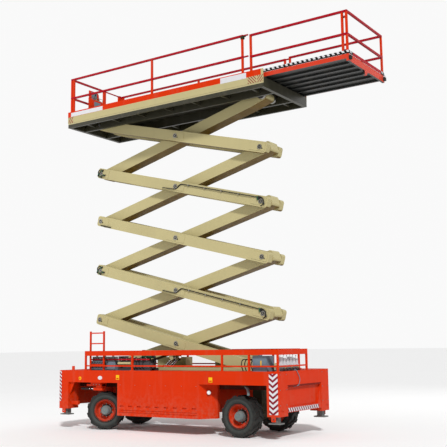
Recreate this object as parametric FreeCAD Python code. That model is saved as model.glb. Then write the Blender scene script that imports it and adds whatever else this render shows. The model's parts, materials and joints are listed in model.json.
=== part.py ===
import FreeCAD
import Part
import math
import os
from FreeCAD import Vector

# A rough-terrain scissor lift, in millimetres. X runs along the machine, towards the end that
# the extension deck slides out of, Y points to its far side and Z is up from the ground.
# Everything is laid out from the chassis centre on the ground, and moved along X once, at the
# end, so that the origin lies under the middle of the whole machine.

# Running gaps
slide_gap = 0.5
seat_gap = 0.3
running_gap = 5.0
pin_clearance = 0.4
rolling_gap = 0.4

# Chassis
chassis_length = 7000.0
chassis_width = 2500.0
arch_clearance = 246.0
side_beam_depth = 320.0
end_bottom = 540.0
skirt_bottom = 415.0
side_box_depth = 460.0
frame_rail_width = 260.0
frame_rail_drop = 95.0
frame_rail_lap = 130.0
member_height = 225.0
member_drop = 80.0
member_width = 120.0
end_box_length = 330.0
end_box_width = 400.0
end_plate = 20.0
panel_inset = 70.0
panel_slope = 170.0
bumper_bottom = 620.0
bumper_height = 120.0
bumper_depth = 85.0
lashing_bore_radius = 25.0
lashing_eye_thickness = 25.0
lashing_eye_size = 110.0
skirt_left = -1400.0
skirt_right = 1230.0
skirt_chamfer_run = 300.0
skirt_chamfer_depth = 380.0
skirt_flange = 100.0

# Axles and wheels
wheel_base = 4500.0
tyre_radius = 502.0
tyre_width = 400.0
wheel_inset = 380.0
rim_radius = 290.0
kingpin_offset = 250.0
kingpin_radius = 30.0
steered_rest = 28.0
steering_arm = 300.0
steering_arm_drop = 125.0
stub_radius = 60.0
hub_radius = 120.0
hub_reach = 20.0
lug_height = 34.0
lugs_per_side = 12
lug_top = 100.0
lug_foot = 135.0
lug_sweep = 95.0
lug_middle_gap = 24.0
axle_depth = 180.0
axle_width = 220.0
bulge_radius = 160.0
pedestal_half = 180.0

# Jacks
jack_leg = 140.0
jack_foot_height = 370.0
jack_foot_plate = 30.0
jack_inset = 150.0
jack_stroke = 550.0
jack_hold = 400.0

# Scissor stack
stages = 5
scissor_left = -2800.0
scissor_right = 2600.0
stage_height = 1408.0
lowest_angle = 3.2
arm_depth = 290.0
inner_arm_width = 400.0
outer_arm_width = 200.0
arm_gap = 10.0
doubler = 10.0
doubler_reach = 300.0
doubler_inset = 45.0
tip_reach_right = 200.0
tip_reach_left = 120.0
tip_corner = 70.0
round_tip_radius = 115.0
tip_taper = 400.0
pin_radius = 45.0
pin_stub = 22.0
base_roller_radius = 74.6
base_roller_width = 70.0
base_roller_y = 580.0
track_left = -1500.0
track_right = 2900.0
track_plate = 10.0
ear_thickness = 30.0
ear_radius = 110.0

# Lift cylinders
cylinder_y = 120.0
cylinder_foot_x = 950.0
cylinder_foot_drop = 950.0
cylinder_eye_along = 2380.0
cylinder_eye_drop = 300.0
rod_travel_per_radian = 1349.0
barrel_radius = 70.0
gland_length = 15.0
bore_bottom = 120.0
rod_radius = 42.0
eye_radius = 65.0
eye_width = 80.0
eye_pin_radius = 32.0
foot_pin_radius = 35.0
lug_plate = 20.0

# Hoses along two outer arms
hose_radius = 12.0
hose_fitting_radius = 17.0
hose_fitting_length = 55.0
hose_bend = 60.0
hose_arms = (2, 4)

# Platform
platform_left = -3450.0
platform_right = 3180.0
platform_width = 2240.0
platform_rise = 150.0
platform_depth = 260.0
floor_thickness = 20.0
fascia_drop = 120.0
fascia_thickness = 8.0
toe_height = 210.0
guard_mid = 620.0
guard_top = 1180.0
guard_tube = 50.0
side_beam_width = 60.0
carrier_inner = 440.0
carrier_width = 70.0
cross_beams = 7
cross_beam_width = 60.0
track_strip = 15.0
top_roller_width = 70.0
gate_y0 = 330.0
gate_hinge_y = 935.0
gate_tube = 20.0

# Extension deck
extension_right = 5450.0
extension_left = 2450.0
extension_gap = 15.0
extension_inset = 85.0
extension_beam_width = 60.0
extension_beam_height = 110.0
extension_post_start = 2765.0
pad_reach = 50.0

# Low guard rail round the chassis deck
deck_guard_height = 515.0
deck_guard_low = 120.0
deck_guard_band = 130.0
deck_guard_inset = 35.0
deck_guard_post = 45.0
deck_guard_end = 175.0
unit_inset = 90.0
engine_left = -1320.0
engine_right = -420.0

half_length = chassis_length / 2
half_width = chassis_width / 2
axle_x = wheel_base / 2
wheel_y = half_width - wheel_inset
wheel_z = tyre_radius
hub_inner_y = wheel_y + 20
kingpin_y = wheel_y - kingpin_offset
arch_height = 2 * tyre_radius + arch_clearance
deck_height = arch_height + side_beam_depth
rail_outer = half_width - side_box_depth
rail_inner = rail_outer - frame_rail_width
rail_top = deck_height - frame_rail_drop
jack_top = end_bottom + jack_stroke + jack_hold
rail_bottom = arch_height - frame_rail_lap
corner_y = half_width - end_box_width
frame_reach = half_length - end_box_length

base_pin_height = rail_top + base_roller_radius + rolling_gap
top_pin_height = base_pin_height + stages * stage_height
span = scissor_right - scissor_left
arm_length = math.hypot(span, stage_height)
arm_angle = math.degrees(math.atan2(stage_height, span))
inner_face = inner_arm_width / 2
outer_near = inner_face + arm_gap
outer_far = outer_near + outer_arm_width

floor_top = top_pin_height + platform_rise
platform_bottom = floor_top - platform_depth
floor_under = floor_top - floor_thickness
top_track_bottom = floor_under - track_strip
top_roller_radius = top_track_bottom - top_pin_height - rolling_gap
toe_board_top = floor_top + toe_height
rail_mid_height = floor_top + guard_mid
rail_top_height = floor_top + guard_top
platform_half = platform_width / 2
guard_y = platform_half - fascia_thickness - guard_tube / 2
end_rail_x = platform_left + 110
carrier_outer = carrier_inner + carrier_width
extension_half = platform_half - extension_inset
extension_stroke = extension_right - extension_beam_width - platform_right - 4 * running_gap
origin_shift = Vector(-(extension_right + pad_reach - half_length) / 2, 0, 0)

NEAR, FAR = -1, 1
X, Y, Z = Vector(1, 0, 0), Vector(0, 1, 0), Vector(0, 0, 1)
nodes = {}


def box(x0, x1, y0, y1, z0, z1):
    """A box between two corners, given in any order."""
    low = Vector(min(x0, x1), min(y0, y1), min(z0, z1))
    return Part.makeBox(abs(x1 - x0), abs(y1 - y0), abs(z1 - z0), low)


def rod(start, end, radius):
    """A round bar from one point to another."""
    return Part.makeCylinder(radius, (end - start).Length, start, end - start)


def cross_rod(centre, reach, radius):
    """A round bar across the machine, as far to each side of a point."""
    return rod(centre - Y * reach, centre + Y * reach, radius)


def slab(corners, thrust):
    """A flat outline carried along a vector."""
    return Part.Face(Part.makePolygon(corners + corners[:1])).extrude(thrust)


def fuse(shapes):
    """One clean solid from shapes that meet."""
    shapes = list(shapes)
    whole = shapes[0].fuse(shapes[1:]) if len(shapes) > 1 else shapes[0]
    return whole.removeSplitter()


def across(shape):
    """The same shape on the other side of the machine."""
    return shape.mirror(Vector(0, 0, 0), Y)


def both(shape):
    """A near shape and its mirror image, as a list."""
    return [shape, across(shape)]


def put(name, *shapes):
    """Keep solids under a node's name."""
    nodes.setdefault(name, []).extend(shapes)


def rounded_bar(corners, y0, y1):
    """A bar across Y from an outline whose corners are an X, a Z and the radius that rounds them."""
    points = [Vector(x, y0, z) for x, z, radius in corners]
    ends, edges = [], []
    for i, (x, z, radius) in enumerate(corners):
        here = points[i]
        before = (points[i - 1] - here).normalize()
        after = (points[(i + 1) % len(points)] - here).normalize()
        half_turn = before.getAngle(after) / 2
        reach = radius / math.tan(half_turn)
        start, end = here + before * reach, here + after * reach
        if radius:
            centre = here + (before + after).normalize() * (radius / math.sin(half_turn))
            middle = centre + (here - centre).normalize() * radius
            edges.append(Part.Arc(start, middle, end).toShape())
        ends.append((start, end))
    for i, (start, end) in enumerate(ends):
        following = ends[(i + 1) % len(ends)][0]
        if (following - end).Length > 0.001:
            edges.append(Part.LineSegment(end, following).toShape())
    wire = Part.Wire(Part.__sortEdges__(edges))
    return Part.Face(wire).extrude(Y * (y1 - y0))


def guard_rail(posts, foot, width, levels):
    """Square posts at plan points, joined by level bars. A level is a bar's middle and its depth."""
    half = width / 2
    top = max(middle + depth / 2 for middle, depth in levels)
    pieces = [box(x - half, x + half, y - half, y + half, foot, top) for x, y in posts]
    for middle, depth in levels:
        z0, z1 = middle - depth / 2, middle + depth / 2
        for (x0, y0), (x1, y1) in zip(posts, posts[1:]):
            if x0 == x1:
                pieces.append(box(x0 - half, x0 + half, y0, y1, z0, z1))
            else:
                pieces.append(box(x0, x1, y0 - half, y0 + half, z0, z1))
    return pieces


# Scissor geometry

def joint_point(side, level):
    """The pin at a stage's tip: side is left or right, level counts up from the base."""
    x = scissor_left if side == "left" else scissor_right
    return Vector(x, 0, base_pin_height + level * stage_height)


def mid_point(stage):
    """The pin where a stage's arms cross. Stages count from 1."""
    x = (scissor_left + scissor_right) / 2
    return Vector(x, 0, base_pin_height + (stage - 0.5) * stage_height)


def lay_arm(shape, stage, rising):
    """Turn a shape drawn along X about the origin into its arm's place."""
    turned = shape.copy()
    turned.rotate(Vector(0, 0, 0), Y, -arm_angle if rising else arm_angle)
    turned.translate(mid_point(stage))
    return turned


def arm(y0, y1, round_left, round_right):
    """A box beam between two values of Y, doubled round its three pins, with a bore for each."""
    half, depth = arm_length / 2, arm_depth / 2
    top = []
    for sign, is_round, reach in ((-1, round_left, tip_reach_left), (1, round_right, tip_reach_right)):
        if is_round:
            corners = [(sign * (half + round_tip_radius), round_tip_radius, round_tip_radius),
                       (sign * (half - tip_taper), depth, 0)]
        else:
            corners = [(sign * (half + reach), depth, tip_corner)]
        top += corners if sign < 0 else corners[::-1]
    outline = top + [(x, -z, radius) for x, z, radius in reversed(top)]
    pieces = [rounded_bar(outline, y0 + doubler, y1 - doubler)]
    height = depth - doubler_inset
    left_end = half + (round_tip_radius if round_left else tip_reach_left) - doubler_inset
    right_end = half + (round_tip_radius if round_right else tip_reach_right) - doubler_inset
    for x0, x1 in ((-left_end, doubler_reach - half), (-doubler_reach, doubler_reach),
                   (half - doubler_reach, right_end)):
        pieces.append(box(x0, x1, y0, y1, -height, height))
    whole = fuse(pieces)
    for x in (-half, 0, half):
        whole = whole.cut(rod(Vector(x, y0 - 1, 0), Vector(x, y1 + 1, 0), pin_radius + pin_clearance))
    return whole


def inner_arms(stage):
    """The wide beam in the middle of a stage, which rises to the right."""
    beam = arm(-inner_face, inner_face, stage == 1, stage == stages)
    if stage == 1:
        beam = fuse([beam] + cylinder_lugs())
    return lay_arm(beam, stage, True)


def outer_arms(stage):
    """The pair of beams on each side of it, which rise to the left. The pins hold them together."""
    beam = arm(-outer_far, -outer_near, stage == stages, stage == 1)
    return [lay_arm(side, stage, False) for side in both(beam)]


def cylinder_lugs():
    """Four plates under the first inner beam, with the pins that the lift cylinders push on."""
    x = cylinder_eye_along - arm_length / 2
    top, eye = -arm_depth / 2 + doubler, -cylinder_eye_drop
    pieces = []
    for side in (NEAR, FAR):
        for edge in (-1, 1):
            y0 = side * cylinder_y + edge * (eye_width / 2 + running_gap)
            y1 = y0 + edge * lug_plate
            corners = [Vector(x - 110, y0, top), Vector(x + 110, y0, top),
                       Vector(x + 50, y0, eye), Vector(x - 50, y0, eye)]
            pieces.append(slab(corners, Y * (y1 - y0)))
            pieces.append(rod(Vector(x, y0, eye), Vector(x, y1 + edge * doubler, eye), 50))
    return pieces


def roller_shaft(centre):
    """The lowest shaft, whose rollers run on the chassis rails."""
    half = base_roller_width / 2
    pieces = [cross_rod(centre, base_roller_y + half + 8, pin_radius)]
    for side in (NEAR, FAR):
        pieces.append(cross_rod(centre + Y * side * base_roller_y, half, base_roller_radius))
    return fuse(pieces)


def top_rollers():
    """The highest right-hand shaft, whose rollers run under the platform."""
    centre = joint_point("right", stages)
    half = top_roller_width / 2
    roller_y = inner_face + 25 + half
    pieces = [cross_rod(centre, roller_y + half + 10, pin_radius)]
    for side in (NEAR, FAR):
        pieces.append(cross_rod(centre + Y * side * roller_y, half, top_roller_radius))
    put("top_rollers", fuse(pieces))


def bend(before, here, after, radius):
    """Where an arc of that radius round a corner starts and ends, with the point and line it turns about."""
    inward, outward = (before - here).normalize(), (after - here).normalize()
    half_turn = inward.getAngle(outward) / 2
    reach = radius / math.tan(half_turn)
    centre = here + (inward + outward).normalize() * (radius / math.sin(half_turn))
    return here + inward * reach, here + outward * reach, centre, outward.cross(inward)


def hose(stage):
    """A hose that lies along the near outer arm, from its middle pin over its right-hand one."""
    y = -outer_far - seat_gap - hose_fitting_radius
    half, level = arm_length / 2, arm_depth / 2 - 60
    route = [(110, 10), (200, level), (half + 60, level), (half + 125, -70)]
    points = [Vector(x, y, z) for x, z in route]
    first = (points[1] - points[0]).normalize()
    last = (points[-1] - points[-2]).normalize()
    pieces = [rod(points[0], points[0] + first * hose_fitting_length, hose_fitting_radius),
              rod(points[-1], points[-1] - last * hose_fitting_length, hose_fitting_radius)]
    start = points[0]
    for before, here, after in zip(points, points[1:], points[2:]):
        arc_start, arc_end, centre, turn_axis = bend(before, here, after, hose_bend)
        pieces.append(rod(start, arc_start, hose_radius))
        ring = Part.Face(Part.Wire(Part.makeCircle(hose_radius, arc_start, here - before)))
        angle = math.degrees((arc_start - centre).getAngle(arc_end - centre))
        pieces.append(ring.revolve(centre, turn_axis, angle))
        start = arc_end
    pieces.append(rod(start, points[-1], hose_radius))
    put(f"hoses_{stage}", lay_arm(fuse(pieces), stage, False))


def scissor_stack():
    for stage in range(1, stages + 1):
        put(f"inner_arms_{stage}", inner_arms(stage))
        put(f"outer_arms_{stage}", *outer_arms(stage))
        lower, upper = joint_point("right", stage - 1), joint_point("left", stage)
        reach = outer_far + pin_stub
        upper_reach = carrier_outer + doubler if stage == stages else reach
        pins = [cross_rod(mid_point(stage), reach, pin_radius), cross_rod(upper, upper_reach, pin_radius)]
        pins.append(roller_shaft(lower) if stage == 1 else cross_rod(lower, reach, pin_radius))
        put(f"pivot_pins_{stage}", *pins)
    top_rollers()
    for stage in hose_arms:
        hose(stage)


# Lift cylinders

def cylinder_foot():
    base = joint_point("left", 0)
    return base + Vector(cylinder_foot_x, 0, -cylinder_foot_drop)


def cylinder_eye():
    a = math.radians(arm_angle)
    along = Vector(math.cos(a), 0, math.sin(a))
    down = Vector(math.sin(a), 0, -math.cos(a))
    return joint_point("left", 0) + along * cylinder_eye_along + down * cylinder_eye_drop


def lift_cylinders():
    foot, eye = cylinder_foot(), cylinder_eye()
    length = (eye - foot).Length
    axis = (eye - foot).normalize()
    retract = rod_travel_per_radian * math.radians(arm_angle - lowest_angle)
    barrel_length = length - retract - eye_radius - gland_length - 3 * running_gap
    rod_start = bore_bottom + running_gap + retract
    neck_radius = eye_width / 2 - 2
    for side in (NEAR, FAR):
        a, b = foot + Y * side * cylinder_y, eye + Y * side * cylinder_y
        top = a + axis * barrel_length
        barrel = rod(a + axis * (barrel_radius + 3 * running_gap), top, barrel_radius)
        neck = rod(a, a + axis * 100, neck_radius)
        gland = rod(top - axis * 70, top + axis * gland_length, barrel_radius + 8)
        knuckle = cross_rod(a, eye_width / 2, barrel_radius - 8)
        body = fuse([barrel, neck, gland, knuckle])
        body = body.cut(cross_rod(a, eye_width, foot_pin_radius + pin_clearance))
        hollow = rod(a + axis * bore_bottom, top + axis * (gland_length + 1), rod_radius + slide_gap)
        put("lift_barrels", body.cut(hollow))
        shaft = rod(a + axis * rod_start, b, rod_radius)
        ring = cross_rod(b, eye_width / 2, eye_radius)
        put("lift_rods", fuse([shaft, ring]).cut(cross_rod(b, eye_width, eye_pin_radius)))


# Chassis

def cylinder_seat(foot):
    """The beam that the lift cylinders stand on, hung from the frame rails."""
    beam_top = foot.z - barrel_radius - 3 * running_gap
    beam_bottom = beam_top - 110
    hanger_y = cylinder_y + barrel_radius + 25
    x0, x1 = foot.x - 110, foot.x + 110
    pieces = [box(x0, x1, -hanger_y, hanger_y, beam_bottom, beam_top)]
    pieces += both(box(x0, x1, -hanger_y - 30, -hanger_y, beam_bottom, rail_bottom + 80))
    pieces += both(box(x0, x1, -rail_inner, -hanger_y, rail_bottom, rail_bottom + 80))
    for side in (NEAR, FAR):
        for edge in (-1, 1):
            y0 = side * cylinder_y + edge * (eye_width / 2 + running_gap)
            y1 = y0 + edge * lug_plate
            ear = box(foot.x - barrel_radius, foot.x + barrel_radius, y0, y1, beam_top, foot.z)
            cap = rod(Vector(foot.x, y0, foot.z), Vector(foot.x, y1, foot.z), barrel_radius)
            hole = rod(Vector(foot.x, y0 - 50, foot.z), Vector(foot.x, y0 + 50, foot.z),
                       foot_pin_radius + pin_clearance)
            pieces.append(ear.fuse(cap).cut(hole))
        centre = Vector(foot.x, side * cylinder_y, foot.z)
        put("base_pins", cross_rod(centre, eye_width / 2 + running_gap + lug_plate, foot_pin_radius))
    return pieces


def chassis_frame():
    pieces = both(box(-frame_reach, frame_reach, -rail_outer, -rail_inner, rail_bottom, rail_top))
    top = rail_top - member_drop
    half = member_width / 2
    for x in (-frame_reach + half, 100, 1200, axle_x, frame_reach - half):
        pieces.append(box(x - half, x + half, -rail_inner, rail_inner, top - member_height, top))
    put("chassis_frame", fuse(pieces + cylinder_seat(cylinder_foot())))


def scissor_base():
    """The ears that hold the first inner beam, and a channel over each roller's rail."""
    base = joint_point("left", 0)
    beam_top = rail_top - 55
    half = ear_radius + 20
    pieces = [box(base.x - half, base.x + half, -rail_inner, rail_inner, beam_top - 200, beam_top)]
    inner = inner_face + running_gap + 1
    outer = inner + ear_thickness
    for side in (NEAR, FAR):
        pieces.append(box(base.x - ear_radius, base.x + ear_radius, side * inner, side * outer,
                          beam_top, base.z))
        pieces.append(rod(base + Y * side * inner, base + Y * side * outer, ear_radius))
    whole = fuse(pieces).cut(cross_rod(base, outer + 1, pin_radius + pin_clearance))
    put("scissor_base", whole)
    put("base_pins", cross_rod(base, outer + pin_stub, pin_radius))
    web = base_roller_y + base_roller_width / 2 + 25
    flange_bottom = base_pin_height + base_roller_radius + running_gap
    lip = box(track_left, track_right, -web - track_plate, -web + 100, flange_bottom, flange_bottom + 12)
    wall = box(track_left, track_right, -web - track_plate, -web, rail_top, flange_bottom)
    put("scissor_base", *both(fuse([lip, wall])))


def side_box(name, side):
    """The housing between the axles, under the long beam that runs over both wheels."""
    run, cut = skirt_chamfer_run, skirt_chamfer_depth
    outline = [(skirt_left, half_width), (skirt_right, half_width), (skirt_right + run, half_width - cut),
               (skirt_right + run, rail_outer), (skirt_left - skirt_flange, rail_outer),
               (skirt_left - skirt_flange, half_width - cut)]
    lower = slab([Vector(x, side * y, skirt_bottom) for x, y in outline], Z * (arch_height - skirt_bottom))
    upper = box(-frame_reach, frame_reach, side * rail_outer, side * half_width, arch_height, deck_height)
    plate = box(-axle_x - 150, -axle_x + 200, side * (half_width - 320), side * (half_width - 60),
                arch_height - 45, arch_height)
    block = box(-axle_x - 10, -axle_x + 190, side * (half_width - 300), side * (half_width - 110),
                arch_height - 130, arch_height - 45)
    upstand = box(-half_length + 460, -half_length + 540, side * half_width, side * (half_width - 30),
                  deck_height, deck_height + 115)
    whole = fuse([lower, upper, plate, block, upstand])
    # A row of slots over two pressed folds, low on the side.
    fold = 12
    for z in (skirt_bottom + 75, skirt_bottom + 130):
        whole = whole.cut(box(skirt_left + 60, skirt_right - 60, side * (half_width - fold),
                              side * half_width, z, z + 18))
    slots, slot_length = 9, 130
    step = (skirt_right - skirt_left - 300) / (slots - 1)
    for i in range(slots):
        x = skirt_left + 150 + i * step
        whole = whole.cut(box(x - slot_length / 2, x + slot_length / 2, side * (half_width - 2 * fold),
                              side * half_width, skirt_bottom + 225, skirt_bottom + 260))
    put(name, whole)


def jack_centre(sign, side):
    return Vector(sign * (half_length - end_box_length / 2), side * (half_width - jack_inset), 0)


def lashing_eye_centres():
    """Each lashing eye's name, and the middle of its bore on the outer face."""
    eyes = []
    for end, sign in (("left", -1), ("right", 1)):
        for place, side in (("near", NEAR), ("far", FAR)):
            x = sign * (half_length - end_box_length / 2)
            eyes.append((f"lashing_eye_{end}_{place}",
                         Vector(x, side * half_width, end_bottom - lashing_eye_size / 2)))
    return eyes


def end_frame(name, sign):
    """A box across one end, with a housing for a jack leg at each corner and a pressed panel."""
    outer = sign * half_length
    inner = sign * frame_reach
    pieces = []
    for side in (NEAR, FAR):
        corner = box(inner, outer, side * corner_y, side * half_width, end_bottom, deck_height)
        leg = jack_centre(sign, side)
        well = jack_leg / 2 + slide_gap
        corner = corner.cut(box(leg.x - well, leg.x + well, leg.y - well, leg.y + well,
                                end_bottom - 1, jack_top + 4 * running_gap))
        slot_y = side * (half_width - 120)
        corner = corner.cut(box(outer, outer - sign * 15, slot_y - 70, slot_y + 70,
                                bumper_bottom + 20, bumper_bottom + 65))
        pieces.append(corner)
        gusset = [Vector(outer - sign * 15, side * corner_y, arch_height),
                  Vector(outer - sign * 15, side * corner_y, bumper_bottom + bumper_height),
                  Vector(outer - sign * 15, side * (corner_y - panel_slope), bumper_bottom + bumper_height)]
        pieces.append(slab(gusset, X * -sign * (panel_inset + end_plate - 15)))
        if sign < 0:
            brace_y = side * (half_width - 50)
            brace = [Vector(inner, brace_y, arch_height), Vector(inner + 180, brace_y, arch_height),
                     Vector(inner, brace_y, arch_height - 350)]
            pieces.append(slab(brace, Y * -side * 25))
            pieces.append(box(inner, inner + 230, side * (half_width - 150), side * (half_width - 220),
                              end_bottom + 100, end_bottom + 200))
    pieces.append(box(inner, outer, -corner_y, corner_y, arch_height, deck_height))
    face = outer - sign * panel_inset
    pieces.append(box(face, face - sign * end_plate, -corner_y, corner_y, bumper_bottom, arch_height))
    pieces.append(box(outer - sign * 5, outer - sign * bumper_depth, -corner_y, corner_y,
                      bumper_bottom, bumper_bottom + bumper_height))
    for eye_name, centre in lashing_eye_centres():
        if centre.x * sign > 0:
            half = lashing_eye_size / 2
            side = 1 if centre.y > 0 else -1
            eye = box(centre.x - half, centre.x + half, centre.y, centre.y - side * lashing_eye_thickness,
                      centre.z - half, centre.z + half)
            pieces.append(eye.cut(cross_rod(centre, 2 * lashing_eye_thickness, lashing_bore_radius)))
    put(name, fuse(pieces))


def jacks():
    for end, sign in (("left", -1), ("right", 1)):
        for place, side in (("near", NEAR), ("far", FAR)):
            centre = jack_centre(sign, side)
            half = jack_leg / 2
            top_of_foot = jack_foot_height + jack_foot_plate
            leg = box(centre.x - half, centre.x + half, centre.y - half, centre.y + half,
                      top_of_foot, jack_top)
            foot = box(centre.x - 150, centre.x + 150, centre.y + side * 120, centre.y - side * 100,
                       jack_foot_height, top_of_foot)
            put(f"jack_{end}_{place}", fuse([leg, foot]))


# Running gear

def axles():
    """A beam across each axle, with its gear housing, on a pedestal under the chassis frame."""
    half, depth = axle_width / 2, axle_depth / 2
    for name, x in (("axle_left", -axle_x), ("axle_right", axle_x)):
        steered = x < 0
        reach = kingpin_y - (90 if steered else 60)
        pieces = [box(x - half, x + half, -reach, reach, wheel_z - depth, wheel_z + depth),
                  cross_rod(Vector(x, 0, wheel_z), bulge_radius, bulge_radius)]
        top = rail_bottom if steered else rail_top - member_drop - member_height
        pieces.append(box(x - 130, x + 130, -pedestal_half, pedestal_half, wheel_z + depth - 10, top))
        if steered:
            pieces.append(box(x - 130, x + 130, -rail_inner, rail_inner, rail_bottom, rail_bottom + 80))
            pieces += yokes(x, reach)
        else:
            pieces.append(cross_rod(Vector(x, 0, wheel_z), hub_inner_y, stub_radius))
            pieces += both(rod(Vector(x, -kingpin_y - 20, wheel_z), Vector(x, -reach, wheel_z), 140))
        whole = fuse(pieces)
        if steered:
            for side in (NEAR, FAR):
                pin = Vector(x, side * kingpin_y, 0)
                whole = whole.cut(rod(pin, pin + Z * 2 * wheel_z, kingpin_radius + pin_clearance))
        put(name, whole)


def yokes(x, reach):
    """At each end of the steered axle, a fork that holds the kingpin."""
    pieces = []
    for side in (NEAR, FAR):
        pieces.append(box(x - 60, x + 60, side * reach, side * (reach - 60), wheel_z - 190, wheel_z + 190))
        for level in (-1, 1):
            z0, z1 = sorted((wheel_z + level * 130, wheel_z + level * 190))
            pieces.append(box(x - 60, x + 60, side * (reach - 10), side * kingpin_y, z0, z1))
            pieces.append(rod(Vector(x, side * kingpin_y, z0), Vector(x, side * kingpin_y, z1), 60))
    return pieces


def steer(shape, side):
    """Turn a shape that was made for a straight wheel about its kingpin, to the rest angle."""
    turned = shape.copy()
    turned.rotate(Vector(-axle_x, side * kingpin_y, 0), Z, steered_rest)
    return turned


def tie_rod_end(side):
    """Where the tie rod meets a steering arm, at rest."""
    a = math.radians(steered_rest)
    kingpin = Vector(-axle_x, side * kingpin_y, 0)
    along = Vector(math.cos(a), math.sin(a), 0)
    return kingpin + along * steering_arm + Z * (wheel_z - steering_arm_drop - 25)


def knuckles():
    x = -axle_x
    for place, side in (("near", NEAR), ("far", FAR)):
        y = side * kingpin_y
        block = box(x - 55, x + 55, y - 60, y + 60, wheel_z - 125, wheel_z + 125)
        pin = rod(Vector(x, y, wheel_z - 215), Vector(x, y, wheel_z + 215), kingpin_radius)
        flange = rod(Vector(x, y + side * 50, wheel_z), Vector(x, y + side * 100, wheel_z), 120)
        stub = rod(Vector(x, y, wheel_z), Vector(x, side * hub_inner_y, wheel_z), stub_radius)
        arm_z = wheel_z - steering_arm_drop
        bar = box(x, x + steering_arm, y - 25, y + 25, arm_z, arm_z + 30)
        eye = rod(Vector(x + steering_arm, y, arm_z), Vector(x + steering_arm, y, arm_z + 30), 40)
        bolt = rod(Vector(x + steering_arm, y, arm_z - 48), Vector(x + steering_arm, y, arm_z), 18)
        put(f"knuckle_{place}", steer(fuse([block, pin, flange, stub, bar, eye, bolt]), side))
    ends = [tie_rod_end(side) for side in (NEAR, FAR)]
    whole = fuse([rod(ends[0], ends[1], 22)] + [rod(end - Z * 18, end + Z * 18, 38) for end in ends])
    for end in ends:
        whole = whole.cut(rod(end - Z * 60, end + Z * 60, 18 + pin_clearance))
    put("tie_rod", whole)


def lug_row(y0, y1, turn):
    """One row of swept lugs between two values of Y. Each is a tooth's outline carried across the tread."""
    sweep = lug_sweep if y0 < 0 else -lug_sweep
    flat = math.sqrt(tyre_radius ** 2 - ((lug_top + lug_sweep) / 2) ** 2)
    root = tyre_radius - 2 * lug_height
    start = -sweep / 2
    outline = [(start - lug_top / 2, -flat), (start + lug_top / 2, -flat),
               (start + lug_foot / 2, -root), (start - lug_foot / 2, -root)]
    lug = slab([Vector(x, y0, z) for x, z in outline], Vector(sweep, y1 - y0, 0))
    row = []
    for i in range(lugs_per_side):
        turned = lug.copy()
        turned.rotate(Vector(0, 0, 0), Y, turn + i * 360 / lugs_per_side)
        row.append(turned)
    return row


def tyre(x, side):
    """A round carcass with two rows of swept lugs, one row half a pitch behind the other."""
    half = tyre_width / 2
    tread = tyre_radius - lug_height
    outline = [(rim_radius, -half + 35), (rim_radius + 80, -half), (tread, -half + 15),
               (tread, half - 15), (rim_radius + 80, half), (rim_radius, half - 35)]
    corners = [Vector(r, y, 0) for r, y in outline]
    carcass = Part.Face(Part.makePolygon(corners + corners[:1])).revolve(Vector(0, 0, 0), Y, 360)
    # One lug's corner is turned to the lowest point, so that the tyre just meets the ground.
    lowest = math.degrees(math.asin((lug_top + lug_sweep) / 2 / tyre_radius))
    lugs = lug_row(-half + 20, -lug_middle_gap / 2, lowest)
    lugs += lug_row(lug_middle_gap / 2, half - 20, lowest + 180 / lugs_per_side)
    whole = fuse([carcass] + lugs)
    whole.translate(Vector(x, side * wheel_y, wheel_z))
    return whole


def rim(x, side):
    """A deep dish with a planetary hub at its middle, open towards the outside."""
    half = tyre_width / 2
    r = rim_radius - seat_gap
    bore = stub_radius + pin_clearance
    outline = [(bore, -30), (hub_radius + 30, -90), (r - 60, -90), (r - 40, -half + 20), (r, -half + 20),
               (r, half - 20), (r - 30, half - 20), (r - 70, 10), (hub_radius, 0), (hub_radius, half - 40),
               (hub_radius - 30, half + hub_reach), (0, half + hub_reach), (0, 30), (bore, 30)]
    corners = [Vector(a, b * side, 0) for a, b in outline]
    whole = Part.Face(Part.makePolygon(corners + corners[:1])).revolve(Vector(0, 0, 0), Y, 360)
    whole.translate(Vector(x, side * wheel_y, wheel_z))
    return whole


def wheels():
    for end, x in (("left", -axle_x), ("right", axle_x)):
        for place, side in (("near", NEAR), ("far", FAR)):
            rubber, dish = tyre(x, side), rim(x, side)
            if end == "left":
                rubber, dish = steer(rubber, side), steer(dish, side)
            put(f"tyre_{end}_{place}", rubber)
            put(f"rim_{end}_{place}", dish)


# On the chassis deck

def deck_rails():
    """The low guard rail round the deck, with a deep band at the top."""
    y = half_width - deck_guard_inset
    right = half_length - deck_guard_inset
    top = deck_height + deck_guard_height - deck_guard_band / 2
    levels = ((deck_height + deck_guard_low, 35), (top, deck_guard_band))
    near_end = [(right, NEAR * y), (right, deck_guard_end)]
    for side, rest in ((NEAR, near_end), (FAR, [])):
        posts = [(x, side * y) for x in (-2560, -914, 1908, 2680)]
        put("deck_rails", fuse(guard_rail(posts + rest, deck_height, deck_guard_post, levels)))


def ladder():
    """A short ladder up to the stack from the deck's near side."""
    y = -half_width + 100
    left, right, rungs, spacing = -2448, -1967, 4, 280
    pieces = [box(x - 20, x + 20, y - 20, y + 20, deck_height, deck_height + 1040) for x in (left, right)]
    for i in range(rungs):
        z = deck_height + 150 + i * spacing
        pieces.append(box(left, right, y - 15, y + 15, z - 15, z + 15))
    put("ladder", fuse(pieces))


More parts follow.
